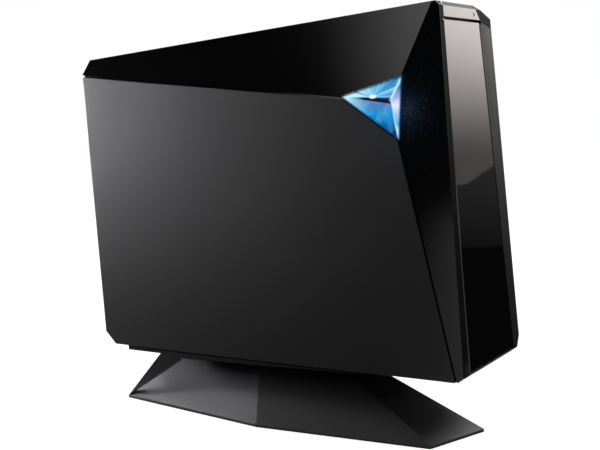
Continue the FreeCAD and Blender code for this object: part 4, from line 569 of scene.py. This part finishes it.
left_half = softened("casing_left", 0.00035, angle=CREASE)
refinished(left_half, finishes["ear"], *LEFT_RIM)
right_half = softened("casing_right", 0.00035, angle=CREASE, rings=(CUT_RING, EAR_RING), reshape=right_edge)
for half in (left_half, right_half):
    refinished(half, finishes["ear"], *REAR_EDGES)
refinished(right_half, finishes["bezel"], *RIGHT_STRIP)
refinished(right_half, finishes["ear"], *RIGHT_EAR)
softened("side_panel_left", 0.00025)
softened("side_panel_right", 0.00025)
bezel = softened("front_bezel", 0.0002, rings=(CUT_RING,), reshape=right_edge)
refinished(bezel, finishes["ear"], *LEFT_RIM_DEEP)
softened("top_strip", 0.0004)
rear = softened("rear_panel", 0.0003)
refinished(rear, finishes["ear"], *REAR_FACE)
base = softened("stand_base", 0.0006, rings=(STAND_RING,))
refinished(base, finishes["ear"], *STAND_RIM)
# Painted shade: a matt black band on the cradle's top stands for the shadow gap under the casing.
pad = softened("cradle", 0.0004, rings=(CRADLE_RING,))
refinished(pad, finishes["ear"], *CRADLE_PAINTED_SHADOW_GAP)
softened("door_panel", 0.0005, body="tray", reshape=right_edge)
softened("disc_tray", 0.0003, body="tray")
softened("eject_key", 0.00015, body="key", angle=8.0)


# ------------------------------------------------------------------ studio
PAPER_LIFT = 0.89                # paper's own light where it is looked at
SEEN_PAPER = (0.22, 0.22, 0.22, 1.0)
LIT_PAPER = (0.5, 0.5, 0.5, 1.0)
ROOM_LIGHT = 0.55                # the white room's strength as a light
LAMP_SIZE = 1.2                  # metres
MIDDLE = (0.0, 0.0, 0.1)         # what the lamps are turned to
COOL, WARM = (0.96, 0.95, 1.0), (1.0, 0.93, 0.91)
FRONT_RIGHT = (-0.9, 0.434, 0.0)   # facing of the cards that the door mirrors


def staged(name, points, faces, skin):
    """A piece of the studio from its points and faces."""
    mesh = bpy.data.meshes.new(name)
    mesh.from_pydata(points.tolist(), [], faces)
    mesh.materials.append(skin)
    made = bpy.data.objects.new(name, mesh)
    scene.collection.objects.link(made)
    return made


def sheet_of(name, width, height, place, facing, skin, slant=0.0):
    """A flat card, width by height: points at place + u*side + (v + slant*u)*up, turned to face along facing."""
    out = Vector(facing).normalized()
    side = Vector(UP).cross(out) if abs(out.z) < 0.99 else Vector((1.0, 0.0, 0.0))
    side.normalize()
    up = out.cross(side)
    u, v = np.array([[-0.5, 0.5, 0.5, -0.5], [-0.5, -0.5, 0.5, 0.5]])[:, :, None]
    points = np.array(place) + u * width * np.array(side) + (v * height + slant * u * width) * np.array(up)
    return staged(name, points, [(0, 1, 2, 3)], skin)


def curved_flag(name, radius, start, stop, low, high, skin, steps=32):
    """A cloth round the object: (radius cos a, radius sin a, z), a from start to stop degrees, z from low to high."""
    angles = np.radians(np.linspace(start, stop, steps + 1))
    angle, level = np.meshgrid(angles, np.array([low, high]), indexing="ij")
    points = np.stack([radius * np.cos(angle), radius * np.sin(angle), level], -1).reshape(-1, 3)
    first = np.arange(steps)[:, None] * 2
    return staged(name, points, (first + np.array([0, 1, 3, 2])).tolist(), skin)


def only_in_reflections(card):
    """A studio card that gloss can see, and that neither lights nor shades the object."""
    for sight in ("camera", "diffuse", "shadow", "transmission", "volume_scatter"):
        setattr(card, "visible_" + sight, False)


def bare_material(name):
    """A material with only its output: (material, tree, output)."""
    made = bpy.data.materials.new(name)
    made.use_nodes = True
    made.node_tree.nodes.clear()
    return made, made.node_tree, node(made.node_tree, "OutputMaterial")


def looked_at(tree):
    """1 for rays from the camera, from gloss and through glass, 0 for the rest."""
    ray = node(tree, "LightPath")
    direct = node(tree, "Math", operation="MAXIMUM")
    every = node(tree, "Math", operation="MAXIMUM")
    wire(tree, (ray.outputs["Is Camera Ray"], direct.inputs[0]), (ray.outputs["Is Glossy Ray"], direct.inputs[1]),
         (direct.outputs[0], every.inputs[0]), (ray.outputs["Is Transmission Ray"], every.inputs[1]))
    return every.outputs[0]


def glow(name, low, high, heading, start, stop, tint=(1.0, 1.0, 1.0), rise="LINEAR"):
    """A lit card: its strength goes from low to high as place . heading goes from start to stop."""
    made, tree, out = bare_material(name)
    light = node(tree, "Emission")
    light.inputs["Color"].default_value = (*tint, 1.0)
    place = node(tree, "TexCoord")
    reach = node(tree, "VectorMath", operation="DOT_PRODUCT", b=heading)
    ramp = spanned(tree, start, stop, low, high, interpolation_type=rise)
    wire(tree, (place.outputs["Object"], reach.inputs[0]), (reach.outputs["Value"], ramp.inputs["Value"]),
         (ramp.outputs["Result"], light.inputs["Strength"]), (light.outputs[0], out.inputs["Surface"]))
    return made


def floor_paper():
    """White paper sweep: where looked at it is lifted to white and keeps a soft shadow; it lights like grey paper."""
    made, tree, out = bare_material("floor_paper")
    lift = node(tree, "Emission")
    lift.inputs["Strength"].default_value = PAPER_LIFT
    thin = node(tree, "BsdfDiffuse")
    thin.inputs["Color"].default_value = SEEN_PAPER
    paper = node(tree, "BsdfDiffuse")
    paper.inputs["Color"].default_value = LIT_PAPER
    both = node(tree, "AddShader")
    mix = node(tree, "MixShader")
    wire(tree, (lift.outputs[0], both.inputs[0]), (thin.outputs[0], both.inputs[1]),
         (looked_at(tree), mix.inputs["Fac"]),
         (paper.outputs[0], mix.inputs[1]), (both.outputs[0], mix.inputs[2]), (mix.outputs[0], out.inputs["Surface"]))
    return made


def surroundings():
    """White to the camera, to gloss and through glass; a plain grey for the light that it gives."""
    world = bpy.data.worlds.new("studio_white")
    scene.world = world
    world.use_nodes = True
    tree = world.node_tree
    back = tree.nodes["Background"]
    back.inputs["Color"].default_value = (1.0, 1.0, 1.0, 1.0)
    level = spanned(tree, 0.0, 1.0, low=ROOM_LIGHT)
    wire(tree, (looked_at(tree), level.inputs["Value"]), (level.outputs["Result"], back.inputs["Strength"]))


def lamp(name, place, watts):
    """A square soft lamp that lights without showing in gloss, which the cards do."""
    data = bpy.data.lights.new(name, "AREA")
    data.size = LAMP_SIZE
    data.energy = watts
    made = bpy.data.objects.new(name, data)
    made.location = place
    made.rotation_euler = (Vector(MIDDLE) - Vector(place)).to_track_quat("-Z", "Y").to_euler()
    made.visible_glossy = False
    scene.collection.objects.link(made)


surroundings()
sheet_of("floor", 12.0, 12.0, (0.0, 0.0, 0.0), UP, floor_paper())
dark = glow("dark_cloth", 0.0, 0.0, UP, 0.0, 1.0)
cards = [
    # What the left side and the left flanks mirror.
    curved_flag("dark_cloth_left", 1.6, 95.0, 268.0, 0.0, 2.2, dark),
    sheet_of("shaded_floor_left", 1.5, 0.9, (-0.80, 0.32, 0.001), UP,
             glow("shaded_floor_glow", 0.8, 0.0, (0.25, 1.0, 0.0), -0.135, -0.07)),
    sheet_of("panel_card", 0.6, 0.22, (-0.15, 1.40, 0.30), (0.1, -0.99, 0.0),
             glow("panel_card_glow", 210.0, 0.0, UP, 0.28, 0.40, COOL)),
    sheet_of("edge_card", 0.50, 0.46, (-1.25, 0.675, 0.62), (0.88, -0.42, -0.3),
             glow("edge_card_glow", 3.3, 0.0, (0.0, 1.0, 0.0), 0.44, 0.80, rise="SMOOTHSTEP")),
    # What the door mirrors: a floor, a low edge that slants, and a wall that brightens upwards.
    sheet_of("dark_floor_right", 1.1, 0.6, (0.57, -0.42, 0.0015), UP, dark),
    sheet_of("low_dark_card", 0.5, 0.070, (0.54, -0.376, 0.037), FRONT_RIGHT,
             glow("low_card_glow", 0.0, 0.14, UP, 0.01, 0.072)),
    sheet_of("line_card", 0.16, 0.10, (0.5285, -0.378, 0.027), FRONT_RIGHT,
             glow("line_card_glow", 0.03, 0.12, UP, 0.0, 0.075), slant=-0.60),
    sheet_of("door_card", 0.5, 0.40, (0.60, -0.41, 0.2), FRONT_RIGHT,
             glow("door_card_glow", 0.50, 6.0, UP, 0.092, 0.31, WARM, "SMOOTHSTEP")),
    # What the stand's rear left face and its front end mirror.
    sheet_of("stand_card", 0.7, 0.5, (0.08, 1.35, 1.05), (-0.05, -0.78, -0.62),
             glow("stand_card_glow", 22.0, 22.0, UP, 0.0, 1.0, (0.95, 0.95, 1.0))),
    sheet_of("nose_card", 0.5, 0.5, (0.95, -0.70, 0.95), (-0.63, 0.40, -0.66),
             glow("nose_card_glow", 175.0, 182.0, (1.0, 0.0, 0.0), 0.8, 1.1)),
]
for card in cards:
    only_in_reflections(card)
lamp("key_lamp", (-1.2, -0.9, 1.4), 26.0)
lamp("fill_lamp", (1.3, -0.7, 1.1), 18.0)
lamp("back_lamp", (0.2, 1.4, 1.3), 16.0)

# The crystal's own light on the black plastic beside it.
halo = bpy.data.lights.new("crystal_glow", "POINT")
halo.energy = 0.055
halo.shadow_soft_size = 0.002
halo.color = (0.3, 0.6, 1.0)
halo_lamp = bpy.data.objects.new("crystal_glow", halo)
halo_lamp.location = (-0.0350, -0.0985, 0.152)
halo_lamp.visible_glossy = False
scene.collection.objects.link(halo_lamp)
